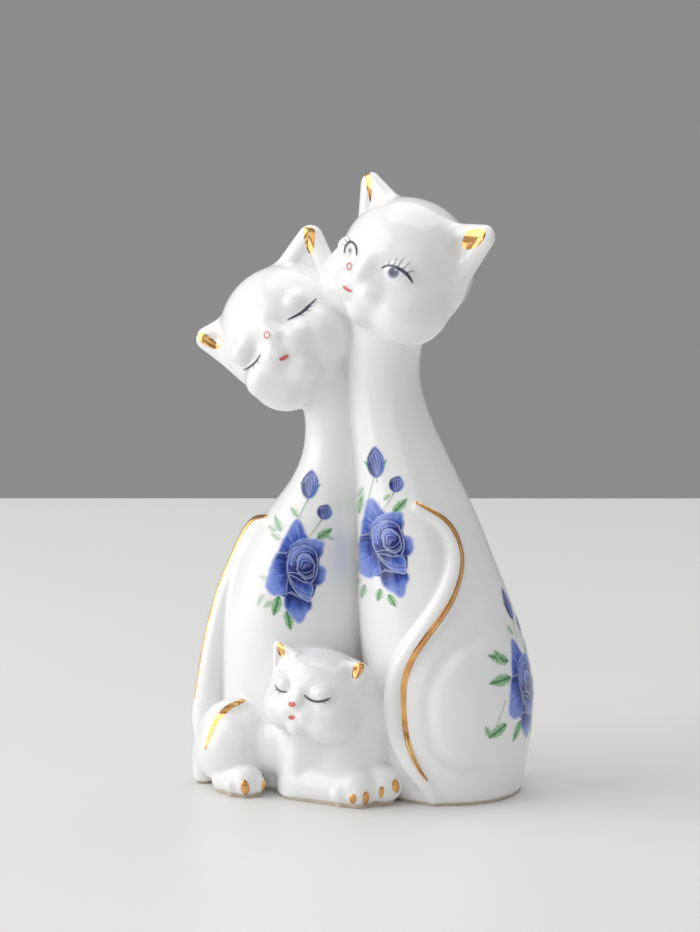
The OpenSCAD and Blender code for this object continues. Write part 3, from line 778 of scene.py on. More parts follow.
def glaze_material():
    m, nt, b = new_mat("white_glaze")
    n1 = noise(nt, 28.0, 3.0)
    r1 = ramp(nt, n1.outputs["Fac"], [(0.30, (0.855, 0.857, 0.852)), (0.55, (0.880, 0.881, 0.878)), (0.75, (0.893, 0.895, 0.896))])
    nt.links.new(r1.outputs["Color"], b.inputs["Base Color"])
    n2 = noise(nt, 90.0, 2.0)
    r2 = ramp(nt, n2.outputs["Fac"], [(0.3, (0.12,) * 3), (0.7, (0.19,) * 3)])
    nt.links.new(r2.outputs["Color"], b.inputs["Roughness"])
    n3 = noise(nt, 160.0, 2.0, 0.45)
    bp = node(nt, "ShaderNodeBump")
    bp.inputs["Strength"].default_value = 0.05
    bp.inputs["Distance"].default_value = 0.0004
    nt.links.new(n3.outputs["Fac"], bp.inputs["Height"])
    nt.links.new(bp.outputs["Normal"], b.inputs["Normal"])
    b.inputs["IOR"].default_value = 1.45
    b.inputs["Coat Weight"].default_value = 0.3
    b.inputs["Coat Roughness"].default_value = 0.04
    b.inputs["Coat IOR"].default_value = 1.5
    return m


def bisque_material():
    m, nt, b = new_mat("bare_bisque")
    n1 = noise(nt, 320.0, 4.0)
    r1 = ramp(nt, n1.outputs["Fac"], [(0.3, (0.52, 0.44, 0.33)), (0.7, (0.68, 0.60, 0.48))])
    nt.links.new(r1.outputs["Color"], b.inputs["Base Color"])
    r2 = ramp(nt, n1.outputs["Fac"], [(0.3, (0.7,) * 3), (0.7, (0.9,) * 3)])
    nt.links.new(r2.outputs["Color"], b.inputs["Roughness"])
    bp = node(nt, "ShaderNodeBump")
    bp.inputs["Strength"].default_value = 0.3
    bp.inputs["Distance"].default_value = 0.0002
    nt.links.new(n1.outputs["Fac"], bp.inputs["Height"])
    nt.links.new(bp.outputs["Normal"], b.inputs["Normal"])
    return m


def gold_material():
    m, nt, b = new_mat("gold_lustre")
    n1 = noise(nt, 210.0, 3.0)
    r1 = ramp(nt, n1.outputs["Fac"], [(0.25, (0.56, 0.25, 0.10)), (0.5, (0.80, 0.43, 0.16)), (0.75, (0.93, 0.62, 0.26))])
    nt.links.new(r1.outputs["Color"], b.inputs["Base Color"])
    n2 = noise(nt, 700.0, 2.0)
    r2 = ramp(nt, n2.outputs["Fac"], [(0.3, (0.12,) * 3), (0.7, (0.27,) * 3)])
    nt.links.new(r2.outputs["Color"], b.inputs["Roughness"])
    bp = node(nt, "ShaderNodeBump")
    bp.inputs["Strength"].default_value = 0.12
    bp.inputs["Distance"].default_value = 0.0001
    nt.links.new(n2.outputs["Fac"], bp.inputs["Height"])
    nt.links.new(bp.outputs["Normal"], b.inputs["Normal"])
    b.inputs["Metallic"].default_value = 1.0
    return m


def paint_material(name):
    """fired colour under gloss: colour and coverage are carried by the mesh's
    own paint attribute; where coverage falls to nothing it is plain glaze"""
    m = M_GLAZE.copy()
    m.name = name
    nt = m.node_tree
    b = nt.nodes["Principled BSDF"]
    base = b.inputs["Base Color"].links[0].from_socket
    at = node(nt, "ShaderNodeVertexColor")
    at.layer_name = "paint"
    n1 = noise(nt, 900.0, 3.0)
    r1 = ramp(nt, n1.outputs["Fac"], [(0.3, (0.84, 0.84, 0.87)), (0.7, (1.0, 1.0, 1.0))])
    mx = node(nt, "ShaderNodeMix")
    mx.data_type, mx.blend_type = 'RGBA', 'MULTIPLY'
    mx.inputs[0].default_value = 1.0
    nt.links.new(at.outputs["Color"], mx.inputs[6])
    nt.links.new(r1.outputs["Color"], mx.inputs[7])
    cv = node(nt, "ShaderNodeMix")
    cv.data_type = 'RGBA'
    nt.links.new(at.outputs["Alpha"], cv.inputs[0])
    nt.links.new(base, cv.inputs[6])
    nt.links.new(mx.outputs[2], cv.inputs[7])
    nt.links.new(cv.outputs[2], b.inputs["Base Color"])
    return m


M_GLAZE, M_BISQUE, M_GOLD = glaze_material(), bisque_material(), gold_material()
M_ROSE, M_LEAF = paint_material("blue_transfer"), paint_material("green_transfer")
M_INK, M_IRIS, M_CORAL = paint_material("eye_enamel"), paint_material("iris_enamel"), paint_material("coral_enamel")

# --------------------------------------------------------- the white body ---
H = 0.62 if QUICK else 0.42
FOOT = 0.32
VENTS = ((-17.0, 5.5), (18.0, 5.5))


def glaze_field(P, want_label=False):
    r = field(P, want_label)
    f, lab = r if want_label else (r, None)
    f = smax(f, FOOT - P[:, 2], 1.3)
    low = P[:, 2] < 12
    if low.any():
        Q = P[low]
        for x, y in VENTS:
            d = np.sqrt((Q[:, 0] - x) ** 2 + (Q[:, 1] - y) ** 2) - 3.5
            f[low] = np.maximum(f[low], -np.maximum(d, Q[:, 2] - 9.0))
    return (f, lab) if want_label else f


def foot_field(P, want_label=False):
    Q = P.copy(); Q[:, 2] = 1.6
    f = field(Q) + 0.6
    f = np.maximum(f, np.abs(P[:, 2] - 0.6) - 0.6)
    for x, y in VENTS:
        f = np.maximum(f, 3.5 - np.sqrt((P[:, 0] - x) ** 2 + (P[:, 1] - y) ** 2))
    return (f, np.zeros(len(P), int)) if want_label else f


import time as _t
_t0 = _t.time()
V, on, F_ = nets(glaze_field, (-42.5, -27.5, -1.5), (42.5, 27.5, 138.5), H)
print("nets", len(V), round(_t.time() - _t0, 1))
V, N = settle(V, on, glaze_field, H)
V, N, F_ = tuck(V, N, on, F_)
print("settled", round(_t.time() - _t0, 1))
WHITE = {
    "right_body": ("right_cat_body_glaze", ["right_cat_body"]),
    "right_head": ("right_cat_head_glaze", ["right_cat_head"]),
    "right_tail": ("right_cat_tail_glaze", ["right_cat_tail"]),
    "left_body": ("left_cat_body_glaze", ["left_cat_body"]),
    "left_head": ("left_cat_head_glaze", ["left_cat_head"]),
    "left_tail": ("left_cat_tail_glaze", ["left_cat_tail"]),
    "kitten_body": ("kitten_body_glaze", ["kitten_body"]),
    "kitten_head": ("kitten_head_glaze", ["kitten_head"]),
    "front_paws": ("kitten_front_paws_glaze", ["kitten_front_paws"]),
    "hind_paw": ("kitten_hind_paw_glaze", ["kitten_hind_paw"]),
    "kitten_tail": ("kitten_tail_glaze", ["kitten_tail"]),
}
for i, nm in enumerate(NAMES):
    pn, nodes = WHITE[nm]
    keep(add_mesh(pn, V, F_[i + 1], N, M_GLAZE), "glaze", *nodes)
fv, fon, ff = nets(foot_field, (-38, -24, -0.6), (38, 26, 1.8), 0.3, sparse=False)
fp = fv.copy()
g = grad_of(foot_field, fp)
fp -= np.clip(foot_field(fp), -0.2, 0.2)[:, None] * g / ((g * g).sum(1)[:, None] + 1e-6)
keep(add_mesh("unglazed_foot", fp, ff[1][0], None, M_BISQUE), "bisque", "base_plate")


# ================================================== painted and gilt parts ==
def lin(c):
    c = np.asarray(c, float) / 255.0
    return np.where(c <= 0.04045, c / 12.92, ((c + 0.055) / 1.055) ** 2.4)


def sstep(a, b, x):
    t = np.clip((x - a) / (b - a), 0, 1)
    return t * t * (3 - 2 * t)


def chaikin(p, n=2, closed=True):
    p = np.asarray(p, float)
    for _ in range(n):
        q = np.roll(p, -1, 0) if closed else p[1:]
        a = p if closed else p[:-1]
        new = np.empty((2 * len(a), p.shape[1]))
        new[0::2], new[1::2] = 0.75 * a + 0.25 * q, 0.25 * a + 0.75 * q
        p = new if closed else np.concatenate([p[:1], new, p[-1:]])
    return p


def sd_poly(X, Y, poly):
    """signed distance in the plane, negative inside"""
    best = np.full(X.shape, 1e9)
    ins = np.zeros(X.shape, bool)
    p = np.asarray(poly, float)
    for i in range(len(p)):
        a, b = p[i], p[(i + 1) % len(p)]
        e = b - a
        wx, wy = X - a[0], Y - a[1]
        t = np.clip((wx * e[0] + wy * e[1]) / (e @ e + 1e-12), 0, 1)
        best = np.minimum(best, (wx - t * e[0]) ** 2 + (wy - t * e[1]) ** 2)
        c = (a[1] > Y) != (b[1] > Y)
        with np.errstate(divide='ignore', invalid='ignore'):
            xi = a[0] + (Y - a[1]) * e[0] / (e[1] if e[1] else 1e-12)
        ins ^= c & (X < xi)
    return np.sqrt(best) * np.where(ins, -1, 1)


def sd_line(X, Y, pts, want_t=False):
    best = np.full(X.shape, 1e9)
    tt = np.zeros(X.shape)
    p = np.asarray(pts, float)
    n = len(p) - 1
    for i in range(n):
        e = p[i + 1] - p[i]
        wx, wy = X - p[i][0], Y - p[i][1]
        t = np.clip((wx * e[0] + wy * e[1]) / (e @ e + 1e-12), 0, 1)
        d = (wx - t * e[0]) ** 2 + (wy - t * e[1]) ** 2
        m = d < best
        best[m] = d[m]
        tt[m] = (i + t[m]) / n
    return (np.sqrt(best), tt) if want_t else np.sqrt(best)


_rng = np.random.RandomState(41)
_lat = _rng.rand(256, 256)


def vnoise(x, y):
    xi, yi = np.floor(x).astype(int), np.floor(y).astype(int)
    fx, fy = x - xi, y - yi
    fx, fy = fx * fx * (3 - 2 * fx), fy * fy * (3 - 2 * fy)
    g = lambda a, b: _lat[a % 256, b % 256]
    return (g(xi, yi) * (1 - fx) + g(xi + 1, yi) * fx) * (1 - fy) + (g(xi, yi + 1) * (1 - fx) + g(xi + 1, yi + 1) * fx) * fy


class Ink:
    """a small painter's canvas: colour in linear light and its own coverage"""

    def __init__(self, X, Y):
        self.X, self.Y = X, Y
        self.rgb = np.zeros(X.shape + (3,))
        self.a = np.zeros(X.shape)

    def lay(self, a, rgb):
        a = np.clip(a, 0, 1)
        out = a + self.a * (1 - a)
        rgb = np.broadcast_to(rgb, self.rgb.shape)
        self.rgb = np.where(out[..., None] > 1e-6,
                            (rgb * a[..., None] + self.rgb * (self.a * (1 - a))[..., None]) / np.maximum(out, 1e-6)[..., None], self.rgb)
        self.a = out

    def line(self, pts, w, rgb, op=1.0, soft=None, w1=None, closed=False):
        d, t = sd_line(self.X, self.Y, chaikin(pts, 2, closed), True)
        w1 = w if w1 is None else w1
        ww = w + (w1 - w) * t
        soft = soft or w * 0.6
        self.lay(op * sstep(ww / 2 + soft / 2, ww / 2 - soft / 2, d), rgb)


# ---- the blue rose, drawn on its own little chart (32.2 units to the mm) ----
DARK, DEEP, MIDB, LITE, PALE = lin((24, 40, 110)), lin((38, 60, 144)), lin((72, 100, 192)), lin((132, 154, 226)), lin((194, 206, 243))
PETALS = [   # outline, (dark end), (light end)
    ([(290, 550), (325, 590), (345, 640), (370, 700), (300, 730), (240, 790), (165, 790), (185, 735), (225, 665), (255, 610)], (330, 740), (240, 610)),
    ([(165, 785), (225, 790), (225, 900), (225, 1000), (215, 1075), (170, 1080), (130, 1085), (80, 1040), (85, 990), (110, 900), (135, 830)], (225, 930), (110, 960)),
    ([(250, 745), (300, 710), (370, 690), (430, 705), (480, 715), (470, 770), (445, 830), (440, 880), (400, 850), (330, 790), (240, 800)], (400, 830), (400, 700)),
    ([(430, 880), (460, 880), (490, 915), (490, 960), (460, 1000), (420, 1020), (400, 990), (430, 940)], (415, 950), (485, 930)),
    ([(215, 1085), (250, 1070), (330, 1120), (400, 1130), (385, 1185), (350, 1215), (320, 1280), (290, 1265), (250, 1215), (215, 1180), (205, 1130)], (310, 1120), (300, 1240)),
    ([(225, 900), (228, 830), (250, 775), (300, 740), (360, 735), (410, 760), (435, 810), (440, 870), (430, 950), (400, 1000), (330, 1030), (260, 990), (232, 940)], (330, 870), (260, 770)),
    ([(230, 930), (245, 1000), (290, 1070), (350, 1120), (385, 1140), (395, 1090), (410, 1040), (390, 1000), (330, 990), (270, 950)], (310, 990), (330, 1110)),
    ([(290, 890), (300, 830), (330, 795), (370, 800), (400, 830), (415, 870), (420, 920), (400, 960), (350, 970), (310, 940)], (350, 890), (320, 810)),
]
HEART = [(165, 785), (240, 760), (300, 700), (440, 720), (440, 880), (440, 990), (400, 1130), (320, 1130), (215, 1110), (150, 1070), (130, 960), (150, 850)]
CURLS = [
    [(300, 880), (310, 840), (345, 815), (380, 830), (400, 860)], [(315, 890), (330, 850), (360, 840), (385, 860), (390, 880)],
    [(330, 900), (345, 870), (370, 870), (378, 890)], [(290, 900), (320, 930), (360, 930), (400, 910), (415, 890)],
    [(300, 930), (340, 955), (385, 950), (415, 925)], [(320, 960), (360, 975), (400, 965), (420, 945)],
    [(232, 925), (290, 925), (330, 960), (380, 1000), (410, 1010)], [(235, 940), (260, 1000), (310, 1050), (360, 1075), (400, 1080)],
    [(240, 990), (280, 1050), (330, 1090), (385, 1110)], [(250, 1060), (300, 1090), (350, 1120), (390, 1135)],
    [(228, 900), (228, 830), (250, 775), (300, 735), (350, 715)], [(255, 880), (262, 820), (300, 770), (350, 750), (400, 770)],
    [(275, 850), (290, 800), (330, 775), (375, 780), (410, 800)], [(345, 895), (355, 880), (368, 885)],
    [(165, 790), (225, 795), (250, 760)], [(215, 1080), (250, 1068), (300, 1100)],
    [(430, 880), (445, 830), (470, 770)], [(400, 1000), (430, 950), (440, 890)],
]


def paint_rose(ink, cx, cy, turn=0.0, k=1.0):
    """turn: degrees the flower is turned anticlockwise from its chart"""
    X0, Y0 = ink.X, ink.Y
    a = math.radians(turn)
    rx, ry = (X0 - cx) / k, (Y0 - cy) / k
    X = rx * math.cos(a) - ry * math.sin(a) + 360
    Y = rx * math.sin(a) + ry * math.cos(a) + 880
    wob = 9 * (vnoise(X / 38 + 7, Y / 38) - 0.5)
    X, Y = X + wob, Y + 9 * (vnoise(X / 33, Y / 41 + 31) - 0.5)
    ang = np.arctan2(Y - 890, X - 355)
    rad = np.hypot(Y - 890, X - 355)
    ink.X, ink.Y = X, Y
    heart = sd_poly(X, Y, chaikin(HEART, 2))
    ink.lay(sstep(6, -6, heart), DARK)
    for i, (poly, pd, pl) in enumerate(PETALS):
        outer = i < 5
        sd = sd_poly(X, Y, chaikin(poly, 2)) - (8 if outer else 4)
        if not outer:     # shade under the edge of an inner petal
            sh = 0.55 * np.exp(-np.maximum(sd, 0) / 13.0) * (sd > -4)
            ink.rgb = ink.rgb * (1 - sh[..., None]) + DARK * sh[..., None]
        pd, pl = np.array(pd, float), np.array(pl, float)
        g = ((X - pd[0]) * (pl - pd)[0] + (Y - pd[1]) * (pl - pd)[1]) / ((pl - pd) @ (pl - pd))
        streak = vnoise(ang * 26 + i * 17, rad / 90) - 0.5
        g = np.clip(g, -0.2, 1.25) + 0.42 * streak + 0.25 * (vnoise(X / 27 + i * 9, Y / 27) - 0.5)
        g = sstep(-0.2, 1.05, g)[..., None]
        col = np.where(g < 0.5, DARK + (MIDB - DARK) * (g / 0.5), MIDB + (LITE - MIDB) * ((g - 0.5) / 0.5))
        col = np.where(g < 0.25, DARK + (DEEP - DARK) * g * 4, col) if i == 5 else col
        rim = np.exp(-((sd + 5) / 4.5) ** 2)[..., None] * (0.5 if outer else 0.7)
        col = col * (1 - rim) + PALE * rim
        edge = sstep(9, -7, sd) if outer else sstep(2.5, -2.5, sd)
        ink.lay(edge, col)
    for j, c in enumerate(CURLS):
        off = [(x + 4, y + 6) for x, y in c]
        ink.line(off, 8, DARK, 0.55, 6)
        ink.line(c, 4.2, PALE, 0.85, 3, 2.2)
    ink.X, ink.Y = X0, Y0


def paint_bud(ink, cx, cy, rx, ry, turn=0.0):
    X, Y = ink.X - cx, ink.Y - cy
    a = math.radians(turn)
    X, Y = X * math.cos(a) + Y * math.sin(a), -X * math.sin(a) + Y * math.cos(a)
    q = np.hypot(X / rx, Y / (ry * (1 + 0.12 * (Y < 0))))
    # pointed at the top
    q = q + 0.25 * sstep(-0.3, -1.0, Y / ry) * np.abs(X / rx)
    sd = (q - 1) * min(rx, ry)
    g = sstep(-1.1, 1.1, X / rx + 0.25 * (vnoise(X / 12 + 3, Y / 40) - 0.5))[..., None]
    col = DARK + (MIDB * 0.5 + LITE * 0.5 - DARK) * g
    ink.lay(sstep(7, -7, sd), col)
    s0, s1 = ink.X, ink.Y
    ink.X, ink.Y = X, Y
    clip = ink.a.copy()
    for k2, (xa, xb) in enumerate(((-0.7, -0.15), (-0.35, 0.15), (0.0, 0.5), (0.35, 0.8))):
        ink.line([(rx * xa, -ry * 0.55), (rx * (xa + xb) / 2 + 4, ry * 0.1), (rx * 0.05, ry * 0.8)], 4, PALE, 0.6, 4)
        ink.line([(rx * xa + 6, -ry * 0.5), (rx * (xa + xb) / 2 + 10, ry * 0.1), (rx * 0.1, ry * 0.8)], 6, DARK, 0.45, 5)
    ink.line([(-rx * 0.8, -ry * 0.1), (-rx * 0.2, -ry * 0.75), (rx * 0.45, -ry * 0.7), (rx * 0.8, 0)], 4, PALE, 0.6, 4)
    ink.a = np.where(sd > 6, clip, ink.a)
    ink.X, ink.Y = s0, s1


GREEN_D, GREEN_M, GREEN_L = lin((58, 126, 70)), lin((112, 172, 112)), lin((188, 222, 182))


def paint_leaf(ink, x0, y0, x1, y1, w, op=1.0):
    """foot to tip; w: half width"""
    dx, dy = x1 - x0, y1 - y0
    L = math.hypot(dx, dy)
    u = ((ink.X - x0) * dx + (ink.Y - y0) * dy) / (L * L)
    v = (-(ink.X - x0) * dy + (ink.Y - y0) * dx) / L
    uc = np.clip(u, 0, 1)
    half = w * np.sin(np.pi * uc ** 0.8) ** 0.8 * (1 + 0.22 * (vnoise(u * 9 + x0, v * 0) - 0.5))
    sd = np.abs(v) - half
    sd = np.where((u < 0) | (u > 1), np.maximum(sd, np.abs(u - 0.5) * L - 0.5 * L), sd)
    m = 0.5 + 0.5 * np.clip(np.abs(v) / (w + 1e-6), 0, 1) + 0.5 * (vnoise(ink.X / 14 + y0, ink.Y / 14) - 0.5)
    vein = np.exp(-(v / (w * 0.16)) ** 2)
    side = np.exp(-((np.mod(u * 5 - np.abs(v) / w * 0.8, 1) - 0.5) / 0.13) ** 2) * 0.45
    dk = np.clip(vein + side, 0, 1)[..., None]
    g = sstep(0.25, 1.15, m)[..., None]
    col = GREEN_M + (GREEN_L - GREEN_M) * g
    col = col * (1 - dk) + GREEN_D * dk
    ink.lay(op * sstep(8, -8, sd), col)


def paint_group(X, Y, spec):
    """returns rose ink and leaf ink over a common chart"""
    leaf, rose = Ink(X, Y), Ink(X, Y)
    for st in spec.get("stems", []):
        leaf.line(st, 7, GREEN_M, 0.85, 6, 5)
    for lf in spec.get("leaves", []):
        paint_leaf(leaf, *lf)
    for b in spec.get("buds", []):
        # sepals hug the foot of the bud
        bx, by, rx, ry, tn = b
        a = math.radians(tn)
        fx, fy = bx - math.sin(a) * ry * 0.72, by + math.cos(a) * ry * 0.72
        for s in (-1, 0, 1):
            d = a + s * 0.75
            paint_leaf(leaf, fx, fy + 14, fx + math.sin(d) * ry * 0.9, fy - math.cos(d) * ry * 0.9, rx * 0.34)
        leaf.line([(fx, fy + 6), (fx - math.sin(a) * ry * 0.5, fy + 12 + ry * 0.45)], 8, GREEN_D, 0.8, 6, 5)
        paint_bud(rose, bx, by, rx, ry, tn)
        for s in (-1, 1):
            d = a + s * 0.62
            paint_leaf(leaf, fx, fy + 8, fx + math.sin(d) * ry * 1.25, fy - math.cos(d) * ry * 1.1, rx * 0.3)
    if spec.get("rose"):
        paint_rose(rose, *spec["rose"])
    return rose, leaf


LEFT_ART = {
    "rose": (360, 880, 0.0),
    "buds": [(385, 315, 60, 98, 8), (487, 505, 54, 52, 25)],
    "stems": [[(375, 400), (340, 470), (300, 560)], [(470, 550), (430, 610), (380, 680)]],
    "leaves": [(435, 690, 540, 620, 34), (470, 660, 560, 700, 20, 0.5), (180, 640, 140, 530, 30, 0.75), (150, 640, 90, 600, 24, 0.6),
               (175, 700, 110, 650, 22, 0.6), (300, 540, 250, 470, 24, 0.7), (170, 1090, 130, 1230, 36), (225, 1190, 250, 1330, 34),
               (120, 1130, 60, 1170, 22, 0.55), (60, 1080, 15, 1160, 22, 0.5), (90, 980, 30, 950, 20, 0.4)],
}
RIGHT_ART = {
    "rose": (960, 700, 17.0),
    "buds": [(845, 160, 60, 106, -4), (990, 310, 52, 56, 20)],
    "stems": [[(835, 260), (815, 330), (790, 420)], [(975, 365), (945, 420), (900, 480)]],
    "leaves": [(965, 515, 1065, 410, 32), (900, 420, 950, 380, 20, 0.6), (745, 400, 730, 520, 26, 0.8), (760, 330, 720, 400, 20, 0.6),
               (735, 440, 760, 380, 20, 0.6), (770, 1010, 745, 1110, 26, 0.8), (880, 1040, 860, 1130, 28, 0.9),
               (935, 1080, 985, 1170, 28), (730, 960, 715, 1030, 18, 0.5)],
}
SIDE_ART = {
    "rose": (360, 880, 6.0),
    "buds": [(385, 345, 60, 105, 6), (500, 500, 52, 54, 22)],
    "stems": [[(375, 440), (350, 520), (330, 600)], [(60, 960), (20, 1060), (-60, 1210)]],
    "leaves": [(150, 700, -20, 640, 42), (140, 810, -60, 830, 40), (110, 700, 40, 610, 30, 0.8), (70, 1130, -80, 1215, 44),
               (-60, 1210, -110, 1130, 26, 0.8), (230, 1130, 150, 1270, 42), (440, 690, 545, 610, 34), (300, 540, 250, 470, 24, 0.7),
               (560, 1010, 640, 1080, 30, 0.8), (420, 1190, 480, 1290, 32)],
}


# ---- laying sheets of colour on the glaze ------------------------------------
def march(O, D, t0, t1, fld):
    t = np.full(len(O), float(t0))
    live = np.ones(len(O), bool)
    hit = np.zeros(len(O), bool)
    for _ in range(110):
        i = np.nonzero(live)[0]
        if not len(i):
            break
        f = fld((O[i] + D[i] * t[i, None]))
        h = f < 0.02
        hit[i[h]] = True
        live[i[h]] = False
        t[i[~h]] += np.clip(f[~h] * 0.8, 0.03, 2.2)
        live &= t < t1
    return t, hit


class Patch:
    """a fine grid of points traced on to the surface"""

    def __init__(self, X, Y, O, D, t0, t1, sub=6, labels=None, tol=1.6):
        self.X, self.Y = X, Y
        nx, ny = X.shape
        ci = np.unique(np.r_[np.arange(0, nx, sub), nx - 1])
        cj = np.unique(np.r_[np.arange(0, ny, sub), ny - 1])
        Oc, Dc = O[np.ix_(ci, cj)].reshape(-1, 3), D[np.ix_(ci, cj)].reshape(-1, 3)
        t, hit = march(Oc, Dc, t0, t1, glaze_field)
        t = np.where(hit, t, np.nan).reshape(len(ci), len(cj))
        # fill misses from the nearest hit so that the fine grid can start
        for _ in range(40):
            bad = np.isnan(t)
            if not bad.any() or bad.all():
                break
            pad = np.pad(t, 1, constant_values=np.nan)
            nb = np.stack([pad[:-2, 1:-1], pad[2:, 1:-1], pad[1:-1, :-2], pad[1:-1, 2:]])
            with np.errstate(all='ignore'):
                m = np.nanmean(nb, 0)
            t = np.where(bad, m, t)
        ii, jj = np.arange(nx), np.arange(ny)
        tmp = np.stack([np.interp(jj, cj, t[r]) for r in range(len(ci))])
        T = np.stack([np.interp(ii, ci, tmp[:, c]) for c in range(ny)], 1)
        O, D, T = O.reshape(-1, 3), D.reshape(-1, 3), T.reshape(-1)
        for _ in range(4):
            P = O + D * T[:, None]
            f = chunked(glaze_field, P)
            g = (chunked(glaze_field, P + D * 0.03) - chunked(glaze_field, P - D * 0.03)) / 0.06
            T = T - np.clip(f / np.where(np.abs(g) < 0.15, -0.15, g), -0.7, 0.7)
        self.P = O + D * T[:, None]
        f = chunked(glaze_field, self.P)
        G = chunked(lambda Q: grad_of(glaze_field, Q), self.P)
        self.N = (G / (np.linalg.norm(G, axis=1, keepdims=True) + 1e-9)).reshape(nx, ny, 3)
        ok = (np.abs(f) < 0.05) & ((self.N.reshape(-1, 3) * D).sum(1) < -0.02)
        if labels is not None:
            _, lab = chunked(glaze_field, self.P, want_label=True)
            ok &= np.isin(lab, [NAMES.index(l) for l in labels])
        self.ok = ok.reshape(nx, ny)
        self.P = self.P.reshape(nx, ny, 3)
        # drop cells that jump from one surface to another
        P = self.P
        e0 = np.linalg.norm(P[1:] - P[:-1], axis=-1)
        e1 = np.linalg.norm(P[:, 1:] - P[:, :-1], axis=-1)
        self.cell = self.ok[1:, 1:] & self.ok[:-1, 1:] & self.ok[1:, :-1] & self.ok[:-1, :-1]
        self.cell &= (np.maximum(e0[:, 1:], e0[:, :-1]) < tol) & (np.maximum(e1[1:], e1[:-1]) < tol)


def sheet_patch(x0, y0, x1, y1, step, labels=None, snap=None, sub=6):
    nx, ny = int((x1 - x0) / step) + 2, int((y1 - y0) / step) + 2
    X, Y = np.meshgrid(x0 + np.arange(nx) * step, y0 + np.arange(ny) * step, indexing='ij')
    if snap is not None:
        X, Y = snap(X, Y, step)
    D = sheet_ray(X, Y)
    O = np.broadcast_to(EYE, D.shape)
    return Patch(X, Y, O, D, DIST - 75, DIST + 70, sub, labels, tol=step / SU * 14)


def slab(pt, cells, col=None, top=0.035, bot=0.07, lift=None):
    """closed thin sheet over the chosen cells of a patch"""
    nx, ny = pt.X.shape
    c = np.argwhere(cells & pt.cell)
    if not len(c):
        return None
    vid = lambda i, j: i * ny + j
    q = np.stack([vid(c[:, 0], c[:, 1]), vid(c[:, 0] + 1, c[:, 1]), vid(c[:, 0] + 1, c[:, 1] + 1), vid(c[:, 0], c[:, 1] + 1)], 1)
    P, N = pt.P.reshape(-1, 3), pt.N.reshape(-1, 3)
    a = np.cross(P[q[:, 1]] - P[q[:, 0]], P[q[:, 3]] - P[q[:, 0]])
    if (a * N[q[:, 0]]).sum() < 0:
        q = q[:, ::-1]
    used, inv = np.unique(q, return_inverse=True)
    q = inv.reshape(q.shape)
    h = np.full(len(used), top) if lift is None else top + lift.reshape(-1)[used]
    n = len(used)
    V = np.concatenate([P[used] + N[used] * h[:, None], P[used] - N[used] * bot])
    e = np.concatenate([q[:, [0, 1]], q[:, [1, 2]], q[:, [2, 3]], q[:, [3, 0]]])
    key = e[:, 0].astype(np.int64) * n + e[:, 1]
    rev = e[:, 1].astype(np.int64) * n + e[:, 0]
    be = e[~np.isin(key, rev)]
    sides = np.stack([be[:, 1], be[:, 0], be[:, 0] + n, be[:, 1] + n], 1)
    F = np.concatenate([q, q[:, ::-1] + n, sides])
    NN = np.concatenate([N[used], -N[used]])
    C = None
    if col is not None:
        C = np.concatenate([col.reshape(-1, 4)[used]] * 2)
    return V, F, NN, C


def merge(items):
    items = [i for i in items if i is not None]
    V, F, N, C, o = [], [], [], [], 0
    for v, f, n, c in items:
        V.append(v); F.append(f + o); N.append(n); o += len(v)
        if c is not None:
            C.append(c)
    return np.concatenate(V), np.concatenate(F), np.concatenate(N), (np.concatenate(C) if C else None)


def finish(name, items, mat, slot, *nodes):
    items = [i for i in items if i is not None]
    if not items:
        print("EMPTY", name)
        return
    V, F, N, C = merge(items)
    # the rim of each sheet keeps the glaze's own shading
    keep(add_mesh(name, V, F, None if lifted(name) else N, mat, C), slot, *nodes)
    print(name, len(F))


def lifted(name):
    return "claw" in name


def both(rose, leaf):
    """composite of leaf under rose; the piece a cell goes to is the stronger"""
    a = rose.a + leaf.a * (1 - rose.a)
    rgb = (rose.rgb * rose.a[..., None] + leaf.rgb * (leaf.a * (1 - rose.a))[..., None]) / np.maximum(a, 1e-6)[..., None]
    return np.concatenate([rgb, a[..., None]], -1), rose.a >= leaf.a * 0.6


def cover(cells_a):
    m = np.maximum(np.maximum(cells_a[1:, 1:], cells_a[:-1, 1:]), np.maximum(cells_a[1:, :-1], cells_a[:-1, :-1]))
    return m


def decal(pt, CXX, CYY, spec, rose_name, leaf_name, rose_node, leaf_node):
    rose, leaf = paint_group(CXX, CYY, spec)
    col, isr = both(rose, leaf)
    on_ = cover(col[..., 3]) > 0.015
    r_ = isr[1:, 1:] & (cover(rose.a) > 0.02)
    finish(rose_name, [slab(pt, on_ & r_, col)], M_ROSE, "rose", rose_node)
    finish(leaf_name, [slab(pt, on_ & ~r_, col)], M_LEAF, "leaf", leaf_node)


RS = 0.66 if QUICK else 0.46
pt = sheet_patch(250, 462, 352, 640, RS, ["left_body", "left_tail"])
decal(pt, (pt.X - 255) * 7, (pt.Y - 440) * 7, LEFT_ART, "left_cat_rose_transfer", "left_cat_leaf_transfer", "left_cat_roses", "left_cat_leaves")
pt = sheet_patch(352, 440, 418, 620, RS, ["right_body"])
decal(pt, (pt.X - 255) * 7, (pt.Y - 440) * 7, RIGHT_ART, "right_cat_rose_transfer", "right_cat_leaf_transfer", "right_cat_roses", "right_cat_leaves")


